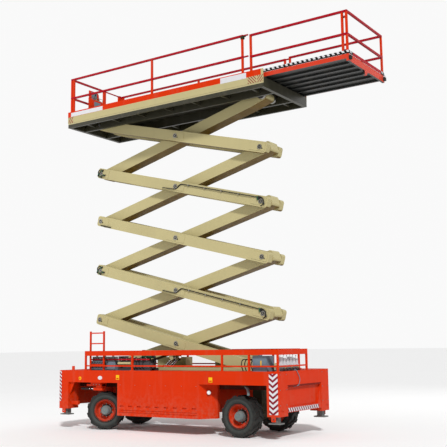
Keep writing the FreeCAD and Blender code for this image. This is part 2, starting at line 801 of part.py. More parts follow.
def engine(outer, inner):
    """The diesel engine on its bearers, open to view behind the rail."""
    left, right, deck = engine_left, engine_right, deck_height
    middle = (inner + outer) / 2
    pieces = [box(left - 120, right + 60, y, y + 60, deck, deck + 60) for y in (outer, inner - 60)]
    pieces.append(box(left, right, outer + 30, inner - 30, deck + 60, deck + 250))
    pieces.append(box(left + 80, right - 120, outer + 80, inner - 80, deck + 250, deck + 320))
    pieces.append(box(left - 120, left - 60, outer, inner, deck + 60, deck + 370))
    fan = Vector(left - 60, middle, deck + 215)
    pieces.append(rod(fan, fan + X * 60, 120))
    cleaner = Vector(right - 320, middle, deck + 370)
    pieces.append(rod(cleaner, cleaner + X * 330, 62))
    # Each pulley's place across the machine, its height over the deck and its radius.
    for offset, height, radius in ((-40, 130, 70), (55, 215, 45)):
        hub = Vector(right, middle + offset, deck + height)
        pieces.append(rod(hub, hub + X * 50, radius))
    return fuse(pieces)


def deck_units():
    """What stands on the deck beside the scissor stack."""
    deck = deck_height
    outer = -half_width + unit_inset
    inner = -rail_outer - 30
    put("engine", engine(outer, inner))
    for x0, x1, height in ((-2510, -2060, 250), (-1950, -1630, 230)):
        put("hydraulic_unit", box(x0, x1, outer + 70, inner, deck, deck + height))
    tank = box(2740, 3130, outer, inner, deck, deck + 360)
    filler = Vector(2860, (inner + outer) / 2, deck + 360)
    put("hydraulic_tank", fuse([tank, rod(filler, filler + Z * 50, 45)]))
    for x0, x1, height in ((-1700, -700, 310), (300, 1500, 360)):
        put("deck_tanks", box(x0, x1, -inner, -outer - 20, deck, deck + height))
    face = half_length - 110
    valves = [box(face - 130, face - 10, -960, -40, deck, deck + 150)]
    for i in range(6):
        y = -900 + i * 150
        valves.append(box(face - 110, face - 30, y, y + 95, deck + 150, deck + 330 - 25 * (i % 3)))
    put("ground_control", fuse(valves))


# Platform

def platform_deck():
    """The floor on its side beams, the carriers over the stack and the outriggers between them."""
    half = platform_half - fascia_thickness
    beams = [box(platform_left, platform_right, -half, half, floor_under, floor_top)]
    step = (platform_right - platform_left - 1000) / (cross_beams - 1)
    for side in (NEAR, FAR):
        beams.append(box(platform_left, platform_right, side * half, side * (half - side_beam_width),
                         platform_bottom, floor_under))
        carrier = box(platform_left + 60, platform_right - 100, side * carrier_inner, side * carrier_outer,
                      platform_bottom, floor_under)
        hole = cross_rod(joint_point("left", stages), carrier_outer + 1, pin_radius + pin_clearance)
        beams.append(carrier.cut(hole))
        for i in range(cross_beams):
            x = platform_left + 500 + i * step
            beams.append(box(x - cross_beam_width / 2, x + cross_beam_width / 2, side * carrier_outer,
                             side * (half - side_beam_width), platform_bottom + 80, floor_under))
        beams.append(box(-600, platform_right - 100, side * (inner_face + 21),
                         side * (inner_face + 29 + top_roller_width), top_track_bottom, floor_under))
        beams.append(box(platform_right - 100, platform_right, side * extension_half,
                         side * (extension_half - extension_beam_width), floor_top,
                         floor_top + extension_gap - slide_gap))
    for x0, x1 in ((platform_left, platform_left + 100), (platform_right - 100, platform_right)):
        beams.append(box(x0, x1, -half, half, platform_bottom, floor_under))
    put("platform_deck", fuse(beams))


def toe_boards():
    """The plates round the platform's edge, from below the floor to ankle height."""
    t = fascia_thickness
    half = platform_half
    z0 = floor_top - fascia_drop
    boards = [box(platform_left - t, platform_right, side * half, side * (half - t), z0, toe_board_top)
              for side in (NEAR, FAR)]
    boards.append(box(platform_left - t, platform_left, -half, half, z0, toe_board_top))
    put("toe_boards", fuse(boards))


def platform_rails():
    levels = ((rail_mid_height, guard_tube), (rail_top_height, guard_tube))
    run = [(end_rail_x + 80, guard_y), (-356, guard_y), (2565, guard_y)]
    near = [(end_rail_x, gate_y0 - 60), (end_rail_x, -guard_y)] + [(x, -y) for x, y in run]
    put("platform_rails", fuse(guard_rail(near, floor_top, guard_tube, levels)))
    post_y = gate_hinge_y + gate_tube + guard_tube / 2 + 10
    far = [(end_rail_x, post_y), (end_rail_x, guard_y)] + run
    pieces = guard_rail(far, floor_top, guard_tube, levels)
    for z in (floor_top + 350, rail_mid_height + 300):
        pieces.append(box(end_rail_x - 15, end_rail_x + 15, gate_hinge_y + gate_tube + 2, post_y, z, z + 40))
        start = Vector(end_rail_x, gate_hinge_y, z)
        pieces.append(rod(start, start + Z * 40, gate_tube + 12))
    hole = Vector(end_rail_x, gate_hinge_y, floor_top)
    put("platform_rails", fuse(pieces).cut(rod(hole, hole + Z * guard_top, gate_tube + pin_clearance)))


def control_box():
    """The operator's desk on the end rail, with a sloped panel, and a small upright beside it."""
    start = end_rail_x + guard_tube / 2 + seat_gap
    bottom, top = rail_mid_height - 160, rail_mid_height + 190
    profile = [(start, bottom), (start + 180, bottom), (start + 180, top - 90), (start + 40, top), (start, top)]
    desk = slab([Vector(x, -430, z) for x, z in profile], Y * 430)
    put("control_box", desk, box(start, start + 60, 70, 140, floor_top + 250, rail_mid_height + 60))


def entry_gate():
    """A swinging gate at the platform's end, hinged on the far side."""
    x, z0, z1 = end_rail_x, floor_top + 220, rail_top_height
    half = gate_tube
    pieces = [rod(Vector(x, gate_hinge_y, z0 - half), Vector(x, gate_hinge_y, z1 + half), gate_tube),
              box(x - half, x + half, gate_y0 - half, gate_y0 + half, z0 - half, z1 + half)]
    for z in (z0, rail_mid_height, z1):
        pieces.append(box(x - 15, x + 15, gate_y0, gate_hinge_y, z - 15, z + 15))
    put("entry_gate", fuse(pieces))


# Extension deck

def extension():
    z0 = floor_top + extension_gap
    z1 = z0 + extension_beam_height
    half, w = extension_half, extension_beam_width
    rib_top, ribs, rib_step = z0 + 45, 5, 320
    pieces = [box(extension_right - w, extension_right, -half, half, z0 - 60, z1),
              box(extension_left, extension_left + w, -half, half, z0, rib_top),
              box(extension_left, extension_right, -half, half, rib_top, rib_top + extension_gap),
              box(extension_right - w, extension_right, -150, -30, z0 - 150, z0 - 60)]
    for side in (NEAR, FAR):
        pieces.append(box(extension_left, extension_right, side * half, side * (half - w), z0, z1))
        pieces.append(box(extension_left, extension_left + 150, side * half, side * (half - w),
                          floor_top + slide_gap, z0))
        put("extension_pads", box(extension_right, extension_right + pad_reach, side * (half - 90),
                                  side * (half + 5), z0 - 20, z0 + 60))
    for i in range(ribs):
        y = (i - (ribs - 1) / 2) * rib_step
        pieces.append(box(extension_left, extension_right - w, y - 25, y + 25, z0, rib_top))
    put("extension_deck", fuse(pieces))
    y = half - guard_tube / 2 - 5
    end = extension_right - guard_tube / 2 - 15
    near = [(extension_post_start, -y), (end - 110, -y), (end, -y)]
    far = [(extension_post_start, y), (end, y)]
    levels = ((rail_mid_height, guard_tube), (rail_top_height, guard_tube))
    ends = [box(end - guard_tube / 2, end + guard_tube / 2, -y, y, z - guard_tube / 2, z + guard_tube / 2)
            for z, depth in levels]
    sides = [piece for run in (near, far) for piece in guard_rail(run, z1, guard_tube, levels)]
    put("extension_rails", fuse(sides + ends))
    board_y = y + guard_tube / 2 + seat_gap
    t = fascia_thickness
    boards = [box(extension_post_start, extension_right, side * board_y, side * (board_y + t),
                  z1 + 5, z1 + 85) for side in (NEAR, FAR)]
    boards.append(box(extension_right, extension_right + t, -board_y - t, board_y + t, z1 + 5, z1 + 85))
    put("extension_boards", fuse(boards))


def export():
    os.makedirs("parts", exist_ok=True)
    for name, shapes in nodes.items():
        solids = [solid for shape in shapes for solid in shape.Solids]
        whole = solids[0] if len(solids) == 1 else Part.makeCompound(solids)
        whole = whole.copy()
        whole.translate(origin_shift)
        if not whole.isValid():
            print("not valid:", name)
        whole.exportStep(f"parts/{name}.step")
    print(len(nodes), "nodes")


chassis_frame()
scissor_base()
side_box("side_box_near", NEAR)
side_box("side_box_far", FAR)
end_frame("end_frame_left", -1)
end_frame("end_frame_right", 1)
jacks()
axles()
knuckles()
wheels()
deck_rails()
ladder()
deck_units()
scissor_stack()
lift_cylinders()
platform_deck()
toe_boards()
platform_rails()
control_box()
entry_gate()
extension()
export()
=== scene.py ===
import json
import math

import bpy
from bpy.props import FloatProperty, FloatVectorProperty, IntProperty, PointerProperty
from mathutils import Matrix, Vector


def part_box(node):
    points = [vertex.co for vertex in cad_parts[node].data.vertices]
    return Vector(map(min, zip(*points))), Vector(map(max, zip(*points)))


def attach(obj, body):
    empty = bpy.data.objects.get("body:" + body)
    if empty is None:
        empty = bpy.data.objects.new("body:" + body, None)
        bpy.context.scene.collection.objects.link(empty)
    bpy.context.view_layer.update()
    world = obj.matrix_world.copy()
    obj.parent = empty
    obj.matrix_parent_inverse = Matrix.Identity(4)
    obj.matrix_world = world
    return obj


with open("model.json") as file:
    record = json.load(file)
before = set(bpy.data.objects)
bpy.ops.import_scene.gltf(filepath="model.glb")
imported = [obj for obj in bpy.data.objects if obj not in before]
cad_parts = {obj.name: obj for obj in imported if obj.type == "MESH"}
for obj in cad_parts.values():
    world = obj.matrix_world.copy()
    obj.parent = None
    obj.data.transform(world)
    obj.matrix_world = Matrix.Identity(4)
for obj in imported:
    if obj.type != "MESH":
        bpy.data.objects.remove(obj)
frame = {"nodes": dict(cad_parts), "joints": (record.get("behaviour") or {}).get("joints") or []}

bl_info = {
    "name": "Scissor lift",
    "version": (1, 0, 0),
    "blender": (4, 5, 0),
    "location": "3D View > Sidebar > Lift",
    "description": "Finishes and small parts of a rough-terrain scissor lift, built round its packed solids",
    "category": "Object",
}

# Lengths are in metres. X runs along the machine to the end that its deck slides out of, Y to its
# far side and Z up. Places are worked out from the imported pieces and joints.

# The photograph's camera, fitted to the machine: place, turns in degrees, and the focal length as
# a share of the picture's width.
CAMERA_PLACE = Vector((12.238, -17.919, 2.194))
CAMERA_YAW = 33.92
CAMERA_PITCH = 8.4
CAMERA_ROLL = -0.77
CAMERA_FOCAL = 1.843
SENSOR_WIDTH = 36.0

# Heights of the platform rails' middle bar, of the line below which the jacks' feet are bare, of
# the line between the fascia's two colours and of the foot of its cream band.
MIDDLE_BAR = 9.36
JACK_PAINT_LINE = 0.60
FASCIA_LINE = 8.797
BAND_FOOT = 8.58

# Where the guard rails' posts stand along the platform, and along the chassis on both sides and on
# the near one alone.
PLATFORM_POSTS = (-4.26, -1.356, 1.565)
DECK_POSTS = (-3.56, -1.914, 0.908, 1.68)
NEAR_POST = 2.465

PIN_RADIUS = 0.045
BARREL_RADIUS = 0.0625
HOSE_STAGES = (2, 4)
STAGES = 5
SIDES = {"near": -1, "far": 1}
WHEELS = [(end, place) for end in ("left", "right") for place in SIDES]
X, Y, Z = Vector((1, 0, 0)), Vector((0, 1, 0)), Vector((0, 0, 1))
BOX_FACES = ((0, 2, 3, 1), (4, 5, 7, 6), (0, 1, 5, 4), (2, 6, 7, 3), (0, 4, 6, 2), (1, 3, 7, 5))

# How squarely a face looks up to count as a top one, and the colours that aren't for a user to set.
LOOKS_UP = 0.7
ROAD_DUST = (0.30, 0.25, 0.18)
TREAD_DUST = (0.09, 0.085, 0.07)
SOOT = (0.012, 0.010, 0.010)

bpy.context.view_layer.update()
joints = {joint["name"]: joint for joint in frame["joints"]}


def span(node):
    """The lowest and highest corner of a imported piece."""
    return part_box(node)


def middle_of(low, high):
    return (low + high) / 2


def pivot(name):
    """Where a joint turns."""
    return Vector(joints[name]["pos_m"])


def joint_axis(name):
    return Vector(joints[name]["axis"]).normalized()


def stack_pins():
    """The scissor stack's left, middle and right pins. The left and right ones begin below stage 1."""
    base, top = pivot("lift"), pivot("platform_pivot")
    rise = (top.z - base.z) / STAGES
    middle_x = pivot("cross_1").x
    return tuple([Vector((x, 0, base.z + (k - lag) * rise)) for k in range(first, STAGES + 1)]
                 for x, first, lag in ((base.x, 0, 0), (middle_x, 1, 0.5), (2 * middle_x - base.x, 0, 0)))


def square_axes(axis):
    """A direction at unit length and two more that are square to it and to each other."""
    axis = Vector(axis).normalized()
    across = axis.orthogonal().normalized()
    return axis, across, axis.cross(across)


def axes_at(place, along, over):
    """A frame at a place: X along one direction, Y across the machine and Z along another."""
    made = Matrix((along, Y, over)).transposed().to_4x4()
    made.translation = place
    return made


def laid(place, y, *rows):
    """Points at one distance across, from rows of X and Z in a frame's own axes."""
    return [place @ Vector((x, y, z)) for x, z in rows]


def full_turn(count):
    """Angles that share out a whole turn."""
    return [2 * math.pi * i / count for i in range(count)]


def curve_through(points, steps=8):
    """A smooth route through points, which leaves each one towards the next but one."""
    points = [Vector(point) for point in points]
    ends = [2 * points[0] - points[1]] + points + [2 * points[-1] - points[-2]]
    route = []
    for a, b, c, d in zip(ends, ends[1:], ends[2:], ends[3:]):
        for t in (i / steps for i in range(steps)):
            route.append(0.5 * (2 * b + (c - a) * t + (2 * a - 5 * b + 4 * c - d) * t ** 2
                                + (3 * b - a - 3 * c + d) * t ** 3))
    return route + [points[-1]]


class Model:
    """A mesh under construction. Each face keeps the number of its paint."""

    def __init__(self):
        self.corners, self.faces, self.paints = [], [], []

    def add(self, corners, faces, paint=0):
        start = len(self.corners)
        self.corners += [Vector(corner) for corner in corners]
        self.faces += [[start + i for i in face] for face in faces]
        self.paints += [paint] * len(faces)

    def box(self, first, last, paint=0, place=Matrix()):
        """A box between two opposite corners, in the axes that place gives."""
        xs, ys, zs = (sorted(pair) for pair in zip(first, last))
        self.add([place @ Vector((x, y, z)) for z in zs for y in ys for x in xs], BOX_FACES, paint)

    def slab(self, outline, thrust, paint=0):
        """A flat outline carried along a vector."""
        near = [Vector(point) for point in outline]
        self.skin(near + [point + Vector(thrust) for point in near], len(near), paint)

    def skin(self, corners, sides, paint):
        """A closed bar, whose rings of corners follow one another."""
        last = len(corners) - sides
        faces = [list(range(sides))[::-1], list(range(last, len(corners)))]
        faces += [[ring + i, ring + (i + 1) % sides, ring + sides + (i + 1) % sides, ring + sides + i]
                  for ring in range(0, last, sides) for i in range(sides)]
        self.add(corners, faces, paint)

    def turned(self, start, axis, profile, sides=24, paint=0):
        """A solid of revolution about a line. Each profile row is a distance along it and a radius."""
        axis, across, other = square_axes(axis)
        self.skin([Vector(start) + axis * along + (across * math.cos(a) + other * math.sin(a)) * radius
                   for along, radius in profile for a in full_turn(sides)], sides, paint)

    def peg(self, seat, axis, radius, height, sides=16, paint=0):
        """A plain round or many-sided peg that stands on a point."""
        self.turned(seat, axis, ((0, radius), (height, radius)), sides, paint)

    def rod(self, start, end, radius, sides=16, paint=0):
        run = Vector(end) - Vector(start)
        self.peg(start, run, radius, run.length, sides, paint)

    def nut(self, seat, axis, radius, height, paint=0):
        """A six-sided nut with a stub of its bolt, standing on a point."""
        self.turned(seat, axis, ((-0.001, radius), (height * 0.85, radius), (height, radius * 0.86)), 6, paint)
        self.turned(seat, axis, ((height * 0.9, radius * 0.5), (height * 1.5, radius * 0.5)), 10, paint)

    def ring(self, centre, axis, radius, thickness, sides=48, tube_sides=8, paint=0):
        """A round bar bent to a closed circle about a line."""
        axis, across, other = square_axes(axis)
        corners, faces = [], []
        for i, a in enumerate(full_turn(sides)):
            out = across * math.cos(a) + other * math.sin(a)
            here, after = i * tube_sides, (i + 1) % sides * tube_sides
            for j, b in enumerate(full_turn(tube_sides)):
                corners.append(Vector(centre) + out * (radius + thickness * math.cos(b))
                               + axis * thickness * math.sin(b))
                following = (j + 1) % tube_sides
                faces.append([here + j, after + j, after + following, here + following])
        self.add(corners, faces, paint)

    def tube(self, route, radius, sides=10, paint=0):
        """A round bar along a list of points, with a cap at each end."""
        route = [Vector(point) for point in route]
        corners = []
        across = (route[1] - route[0]).orthogonal().normalized()
        for i, point in enumerate(route):
            along = (route[min(i + 1, len(route) - 1)] - route[max(i - 1, 0)]).normalized()
            across = (across - along * across.dot(along)).normalized()
            other = along.cross(across)
            corners += [point + (across * math.cos(a) + other * math.sin(a)) * radius for a in full_turn(sides)]
        self.skin(corners, sides, paint)

    def hose(self, points, radius, paint=0, sides=8):
        """A round bar on a smooth curve through a few points."""
        self.tube(curve_through(points), radius, sides, paint)

    def make(self, name, body, *paints, slot=None, smooth=35):
        """The finished object, which rides on a body. A paint is a material, or a shared finish's name."""
        mesh = bpy.data.meshes.new(name)
        mesh.from_pydata([tuple(corner) for corner in self.corners], [], self.faces)
        for paint in paints:
            mesh.materials.append(finish_of(paint) if isinstance(paint, str) else paint)
        mesh.polygons.foreach_set("material_index", self.paints)
        mesh.update()
        mesh.shade_smooth()
        mesh.set_sharp_from_angle(angle=math.radians(smooth))
        piece = bpy.data.objects.new(name, mesh)
        bpy.context.scene.collection.objects.link(piece)
        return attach(piece, body)


# Finishes

def opaque(value):
    """A node's output as it is, or three parts of a colour with a full fourth."""
    return value if isinstance(value, bpy.types.NodeSocket) else (*value, 1)


class Finish:
    """A material's nodes, added one after another to its surface shader."""

    def __init__(self, name, roughness=0.5, metallic=0.0, gloss=0.5):
        self.material = bpy.data.materials.new(name)
        self.material.use_nodes = True
        self.tree = self.material.node_tree
        self.surface = self.tree.nodes["Principled BSDF"].inputs
        for socket, value in (("Roughness", roughness), ("Metallic", metallic), ("Specular IOR Level", gloss)):
            self.surface[socket].default_value = value
        place = self.tree.nodes.new("ShaderNodeTexCoord").outputs
        self.place, self.normal = place["Object"], place["Normal"]
        self.split = self.node("ShaderNodeSeparateXYZ", self.place)

    def feed(self, socket, value):
        """Link a node's output to a socket, or set it. None leaves it as it is."""
        if isinstance(value, bpy.types.NodeSocket):
            self.tree.links.new(value, socket)
        elif value is not None:
            socket.default_value = value

    def node(self, kind, *inputs, **settings):
        """A node with its settings made and its inputs fed in order."""
        made = self.tree.nodes.new(kind)
        for name, value in settings.items():
            setattr(made, name, value)
        for socket, value in zip(made.inputs, inputs):
            self.feed(socket, value)
        return made

    def axis(self, letter):
        return self.split.outputs[letter]

    def maths(self, operation, first, second=0.0):
        return self.node("ShaderNodeMath", first, second, operation=operation).outputs[0]

    def vectors(self, operation, first, second=None, result="Vector"):
        second = None if second is None else tuple(second)
        return self.node("ShaderNodeVectorMath", first, second, operation=operation).outputs[result]

    def over(self, value, level):
        return self.maths("GREATER_THAN", value, level)

    def under(self, value, level):
        return self.maths("LESS_THAN", value, level)

    def both(self, first, second):
        return self.maths("MULTIPLY", first, second)

    def either(self, first, second):
        return self.maths("MAXIMUM", first, second)

    def size(self, value):
        return self.maths("ABSOLUTE", value)

    def between(self, value, low, high):
        """One where a value lies between two others, and nought elsewhere."""
        return self.both(self.over(value, low), self.under(value, high))

    def facing(self, direction):
        """How far a face looks along a direction in the piece's own axes."""
        return self.vectors("DOT_PRODUCT", self.normal, direction, "Value")

    def on_top(self):
        return self.over(self.facing(Z), LOOKS_UP)

    def off_line(self, joint):
        """How far a place lies from a joint's own line."""
        crossed = self.vectors("CROSS_PRODUCT", self.vectors("SUBTRACT", self.place, pivot(joint)),
                               joint_axis(joint))
        return self.vectors("LENGTH", crossed, result="Value")

    def noise(self, scale, detail=4.0, roughness=0.55, stretch=(1, 1, 1)):
        moved = self.vectors("MULTIPLY", self.place, stretch)
        return self.node("ShaderNodeTexNoise", moved, None, scale, detail, roughness).outputs[0]

    def steps(self, value, low, high, start=0.0, end=1.0):
        """A value spread from a start at a low one to an end at a high one."""
        return self.node("ShaderNodeMapRange", value, low, high, start, end).outputs[0]

    def mix(self, share, first, second):
        """Two colours mixed. Each is a colour or another node's output."""
        made = self.node("ShaderNodeMix", share, data_type="RGBA")
        self.feed(made.inputs[6], opaque(first))
        self.feed(made.inputs[7], opaque(second))
        return made.outputs[2]

    def bands(self, along, period, share=0.5, shift=0.0):
        """One in stripes across a direction, and nought between them."""
        run = self.maths("ADD", self.vectors("DOT_PRODUCT", self.place, along, "Value"), shift)
        return self.under(self.maths("FRACT", self.maths("DIVIDE", run, period)), share)

    def striped(self, along, period, first, second, share=0.5):
        return self.mix(self.bands(along, period, share), first, second)

    def colour(self, value):
        self.feed(self.surface["Base Color"], opaque(value))

    def bump(self, height, distance, strength=0.5):
        made = self.node("ShaderNodeBump")
        for socket, value in (("Distance", distance), ("Strength", strength), ("Height", height)):
            self.feed(made.inputs[socket], value)
        self.feed(self.surface["Normal"], made.outputs["Normal"])

    def worn(self, base, dust=ROAD_DUST, amount=0.35):
        """Paint or rubber with cloudy shades, streaks and dust that gathers low down."""
        clouds = self.steps(self.noise(0.9, 6), 0.35, 0.7)
        shaded = self.mix(self.both(clouds, 0.25), base, self.darker(base))
        streaks = self.steps(self.noise(6.0, 5, 0.6, (1, 1, 0.12)), 0.52, 0.78)
        shaded = self.mix(self.both(streaks, amount * 0.35), shaded, dust)
        low = self.steps(self.axis("Z"), 1.1, 0.2)
        grit = self.both(self.steps(self.noise(14.0, 6), 0.4, 0.75), low)
        return self.mix(self.both(grit, amount), shaded, dust)

    def darker(self, base, share=0.72):
        if not isinstance(base, bpy.types.NodeSocket):
            return tuple(channel * share for channel in base)
        made = self.node("ShaderNodeHueSaturation")
        made.inputs["Value"].default_value = share
        self.feed(made.inputs["Color"], base)
        return made.outputs[0]


def colours():
    return bpy.context.scene.lift_colours


def details():
    return bpy.context.scene.lift_details


def paint(name, base, roughness=0.38, amount=0.35, peel=0.0006):
    """Sprayed paint on steel, from a colour or from a function that returns a node's output."""
    finish = Finish(name, roughness, gloss=0.08)
    finish.colour(finish.worn(base(finish) if callable(base) else base, amount=amount))
    rough = finish.steps(finish.noise(5.0, 5), 0.2, 0.9)
    finish.feed(finish.surface["Roughness"], finish.steps(rough, 0.0, 1.0, roughness * 0.8, roughness * 1.5))
    finish.bump(finish.noise(55.0, 3), peel)
    return finish.material


def metal(name, base, roughness):
    finish = Finish(name, roughness, 1.0)
    finish.colour(finish.worn(base, amount=0.25))
    finish.bump(finish.noise(70.0, 4, 0.6), 0.0006)
    return finish.material


def rubber(name, base, roughness=0.75, grain=90.0):
    """Rubber, from a colour or from a function that returns a node's output."""
    finish = Finish(name, roughness, gloss=0.3)
    finish.colour(finish.worn(base(finish) if callable(base) else base, TREAD_DUST, 0.3))
    finish.bump(finish.noise(grain, 5), 0.0015)
    return finish.material


def tread_plate(name, base):
    """Paint with a raised pattern of crossed bars on the faces that look up."""
    finish = Finish(name, 0.45)
    finish.colour(finish.worn(base(finish), amount=0.3))
    bars = [finish.both(finish.bands((x, y, 0), 0.05, 0.35), finish.bands((y, -x, 0), 0.10, 0.55, 0.025))
            for x, y in ((1, 1), (1, -1))]
    finish.bump(finish.both(finish.either(*bars), finish.on_top()), 0.003)
    return finish.material


def finish_of(name):
    """A plain finish that the small parts share, made the first time it is wanted."""
    c = colours()
    sprayed = {
        "orange": (c.orange,), "crimson": (c.crimson,), "cream": (c.cream,), "dark": (c.dark, 0.5),
        # The maroon is painted shade for the chassis frame.
        "maroon": ((0.045, 0.006, 0.003), 0.55), "grey": (c.grey, 0.5), "shade": (c.shade, 0.5),
        "green": (c.engine_green, 0.45), "hub": (c.hub, 0.45, 0.5), "white": (c.white, 0.45, 0.15),
        "yellow": (c.yellow, 0.4, 0.1), "red": (c.stripe_red, 0.4, 0.1), "blue_grey": (c.blue_grey, 0.4, 0.1),
        "lens": ((0.85, 0.86, 0.84), 0.12, 0.05, 0.0),
    }
    polished = {"steel": ((0.30, 0.29, 0.27), 0.42), "zinc": ((0.62, 0.60, 0.52), 0.32),
                "chrome": ((0.78, 0.78, 0.78), 0.08)}
    moulded = {"hose": ((0.012, 0.012, 0.012), 0.5), "rubber": (c.rubber,)}
    full_name = f"lift_{name}"
    for maker, table in ((paint, sprayed), (metal, polished), (rubber, moulded)):
        if name in table:
            return bpy.data.materials.get(full_name) or maker(full_name, *table[name])
    raise KeyError(name)


def coat(names, material):
    """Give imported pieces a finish. A name that ends with a star stands for all that begin so."""
    for wanted in names.split():
        for node, piece in frame["nodes"].items():
            if node == wanted or (wanted.endswith("*") and node.startswith(wanted.rstrip("*"))):
                piece.data.materials.clear()
                piece.data.materials.append(finish_of(material) if isinstance(material, str) else material)


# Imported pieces

def arm_colours(finish):
    """The arms' cream paint, with painted shade on the faces that look down: a brown, in darker patches, that
    stands in for the shadow on their undersides.
    """
    c = colours()
    # Painted shade: faces that look down take the underside colour, which stands in for their shadow.
    down = finish.steps(finish.facing((0, 0, -1)), 0.6, 0.8)
    patches = finish.steps(finish.noise(2.2, 5), 0.35, 0.7)
    return finish.mix(down, c.cream, finish.mix(patches, c.underside, finish.darker(c.underside, 0.7)))


def jack_colours(finish):
    return finish.mix(finish.under(finish.axis("Z"), JACK_PAINT_LINE), colours().orange, colours().grey)


def engine_colours(finish):
    """Grey, with green on the upper part of the right end."""
    right_end = finish.over(finish.axis("X"), span("engine")[1].x - 0.42)
    upper = finish.both(right_end, finish.over(finish.axis("Z"), 1.86))
    return finish.mix(upper, colours().engine_grey, colours().engine_green)


def control_colours(finish):
    """White covers over a grey block."""
    covers = finish.over(finish.axis("Z"), span("ground_control")[0].z + 0.11)
    return finish.mix(covers, colours().grey, colours().white)


def fascia_colours(finish):
    """Cream below and at the right end, orange above, with slanted strokes near both ends."""
    c = colours()
    low, high = span("toe_boards")
    along = finish.axis("X")
    band = c.cream
    for first, last, lean in ((low.x + 0.03, low.x + 0.20, -0.6), (high.x - 0.455, high.x - 0.21, 0.9),
                              (high.x - 0.18, high.x - 0.01, -0.9)):
        strokes = finish.striped((1, 0, lean), details().stripe_period * 0.62, c.stripe_red, c.cream, 0.6)
        band = finish.mix(finish.between(along, first, last), band, strokes)
    upper = finish.mix(finish.over(along, high.x - 0.07), c.orange, c.cream)
    return finish.mix(finish.over(finish.axis("Z"), FASCIA_LINE), band, upper)


def rail_colours(finish):
    """Crimson level bars between orange posts."""
    top = span("platform_rails")[1].z
    bars = finish.either(finish.between(finish.axis("Z"), top - 0.052, top + 0.001),
                         finish.between(finish.axis("Z"), MIDDLE_BAR - 0.0255, MIDDLE_BAR + 0.0255))
    return finish.mix(bars, colours().orange, colours().crimson)


def deck_rail_colours(finish):
    """Orange all over, with painted shade on the faces that look up or down: crimson that makes the level bars
    and rungs darker than the posts.
    """
    # Painted shade: faces that look up or down are crimson, so the level bars and rungs read darker than the
    # posts.
    level = finish.over(finish.size(finish.facing(Z)), LOOKS_UP)
    return finish.mix(level, colours().orange, colours().crimson)


def platform_colours(finish):
    """The cream band's foot along the platform's sides, dark beneath and the floor on top."""
    c = colours()
    outside = finish.over(finish.size(finish.axis("Y")), span("platform_deck")[1].y - 0.004)
    band = finish.both(outside, finish.over(finish.axis("Z"), BAND_FOOT))
    return finish.mix(finish.on_top(), finish.mix(band, c.dark, c.cream), c.floor)


def kick_board_colours(finish):
    """Black and white stripes over a black foot, and crimson in the middle of the end board."""
    c = colours()
    low, high = span("extension_boards")
    stripes = finish.striped((1, 0.9, 0.6), details().stripe_period * 1.05, SOOT, c.white)
    sides = finish.mix(finish.under(finish.axis("Z"), low.z + 0.028), stripes, SOOT)
    end = finish.over(finish.axis("X"), high.x - 0.007)
    return finish.mix(finish.both(end, finish.between(finish.axis("Y"), low.y + 0.22, high.y - 0.22)),
                      sides, c.crimson)


def extension_colours(finish):
    """Orange outer faces and catch, the floor on top, and painted shade on the rest: a near-black that stands in
    for the shadow beneath.
    """
    c = colours()
    high = span("extension_deck")[1]
    across, along = finish.size(finish.axis("Y")), finish.axis("X")
    outside = finish.either(finish.over(across, high.y - 0.003), finish.over(along, high.x - 0.003))
    catch = finish.both(finish.under(across, 0.10), finish.over(along, high.x - 0.12))
    # Painted shade: faces that are neither outside, catch nor floor are near-black.
    base = finish.mix(finish.either(outside, catch), c.under_deck_shade, c.orange)
    return finish.mix(finish.on_top(), base, c.floor)


def rim_paint(name, wheel_joint):
    """Orange on the dish and grey-green on the hub, with a near-black ring between them: painted shade for the
    shadowed recess round the hub, where the dark brake drum shows.
    """
    def by_radius(finish):
        radius = finish.off_line(wheel_joint)
        # Painted shade: near-black between radii 0.128 and 0.160, where the recess round the hub lies in shadow.
        dish = finish.mix(finish.under(radius, 0.160), colours().orange, (0.012, 0.010, 0.009))
        return finish.mix(finish.under(radius, 0.128), dish, colours().hub)

    return paint(name, by_radius, 0.4, 0.45)


def tyre_rubber(name, wheel_joint):
    """Black rubber, with a paler ring on the wall and dust on the tread."""
    def by_radius(finish):
        radius = finish.off_line(wheel_joint)
        wall = finish.both(finish.steps(radius, 0.315, 0.345), finish.steps(radius, 0.425, 0.385))
        return finish.mix(wall, colours().rubber, colours().tyre_wall)

    return rubber(name, by_radius, 0.62, 60.0)


def paint_packed_pieces():
    coat("side_box_* end_frame_* knuckle_* control_box", "orange")
    coat("jack_*", paint("jack_paint", jack_colours))
    coat("platform_rails entry_gate extension_rails", paint("rail_paint_mix", rail_colours))
    coat("deck_rails ladder", paint("deck_rail_paint", deck_rail_colours))
    # Painted shade: the chassis frame is near-black maroon, standing in for the shadow inside the wheel arches
    # and under the chassis.
    coat("chassis_frame", "maroon")
    coat("scissor_base deck_tanks", "cream")
    coat("inner_arms_* outer_arms_*", paint("arm_paint", arm_colours, 0.42, 0.25))
    coat("pivot_pins_* base_pins top_rollers tie_rod", "steel")
    coat("lift_barrels axle_*", "dark")
    coat("lift_rods", "chrome")
    coat("engine", paint("engine_paint", engine_colours, 0.45))
    coat("hydraulic_unit hydraulic_tank", "blue_grey")
    coat("ground_control", paint("valve_paint", control_colours, 0.45))
    coat("hoses_*", "hose")
    coat("extension_pads", "rubber")
    coat("platform_deck", tread_plate("platform_deck_paint", platform_colours))
    coat("toe_boards", paint("toe_board_paint", fascia_colours))
    coat("extension_boards", paint("kick_board_paint", kick_board_colours, 0.4, 0.2))
    coat("extension_deck", tread_plate("extension_deck_paint", extension_colours))
    for end, place in WHEELS:
        which = f"{end}_{place}"
        coat(f"rim_{which}", rim_paint(f"rim_paint_{which}", f"roll_{which}"))
        coat(f"tyre_{which}", tyre_rubber(f"tyre_rubber_{which}", f"roll_{which}"))


# Wheels and steering

def on_circle(centre, axis, radius, turn):
    """A point on a circle about a line, the turn in parts of a whole one from the side nearest the sky."""
    up = (Z - axis * Z.dot(axis)).normalized()
    a = 2 * math.pi * turn
    return centre + up * radius * math.cos(a) + axis.cross(up) * radius * math.sin(a)


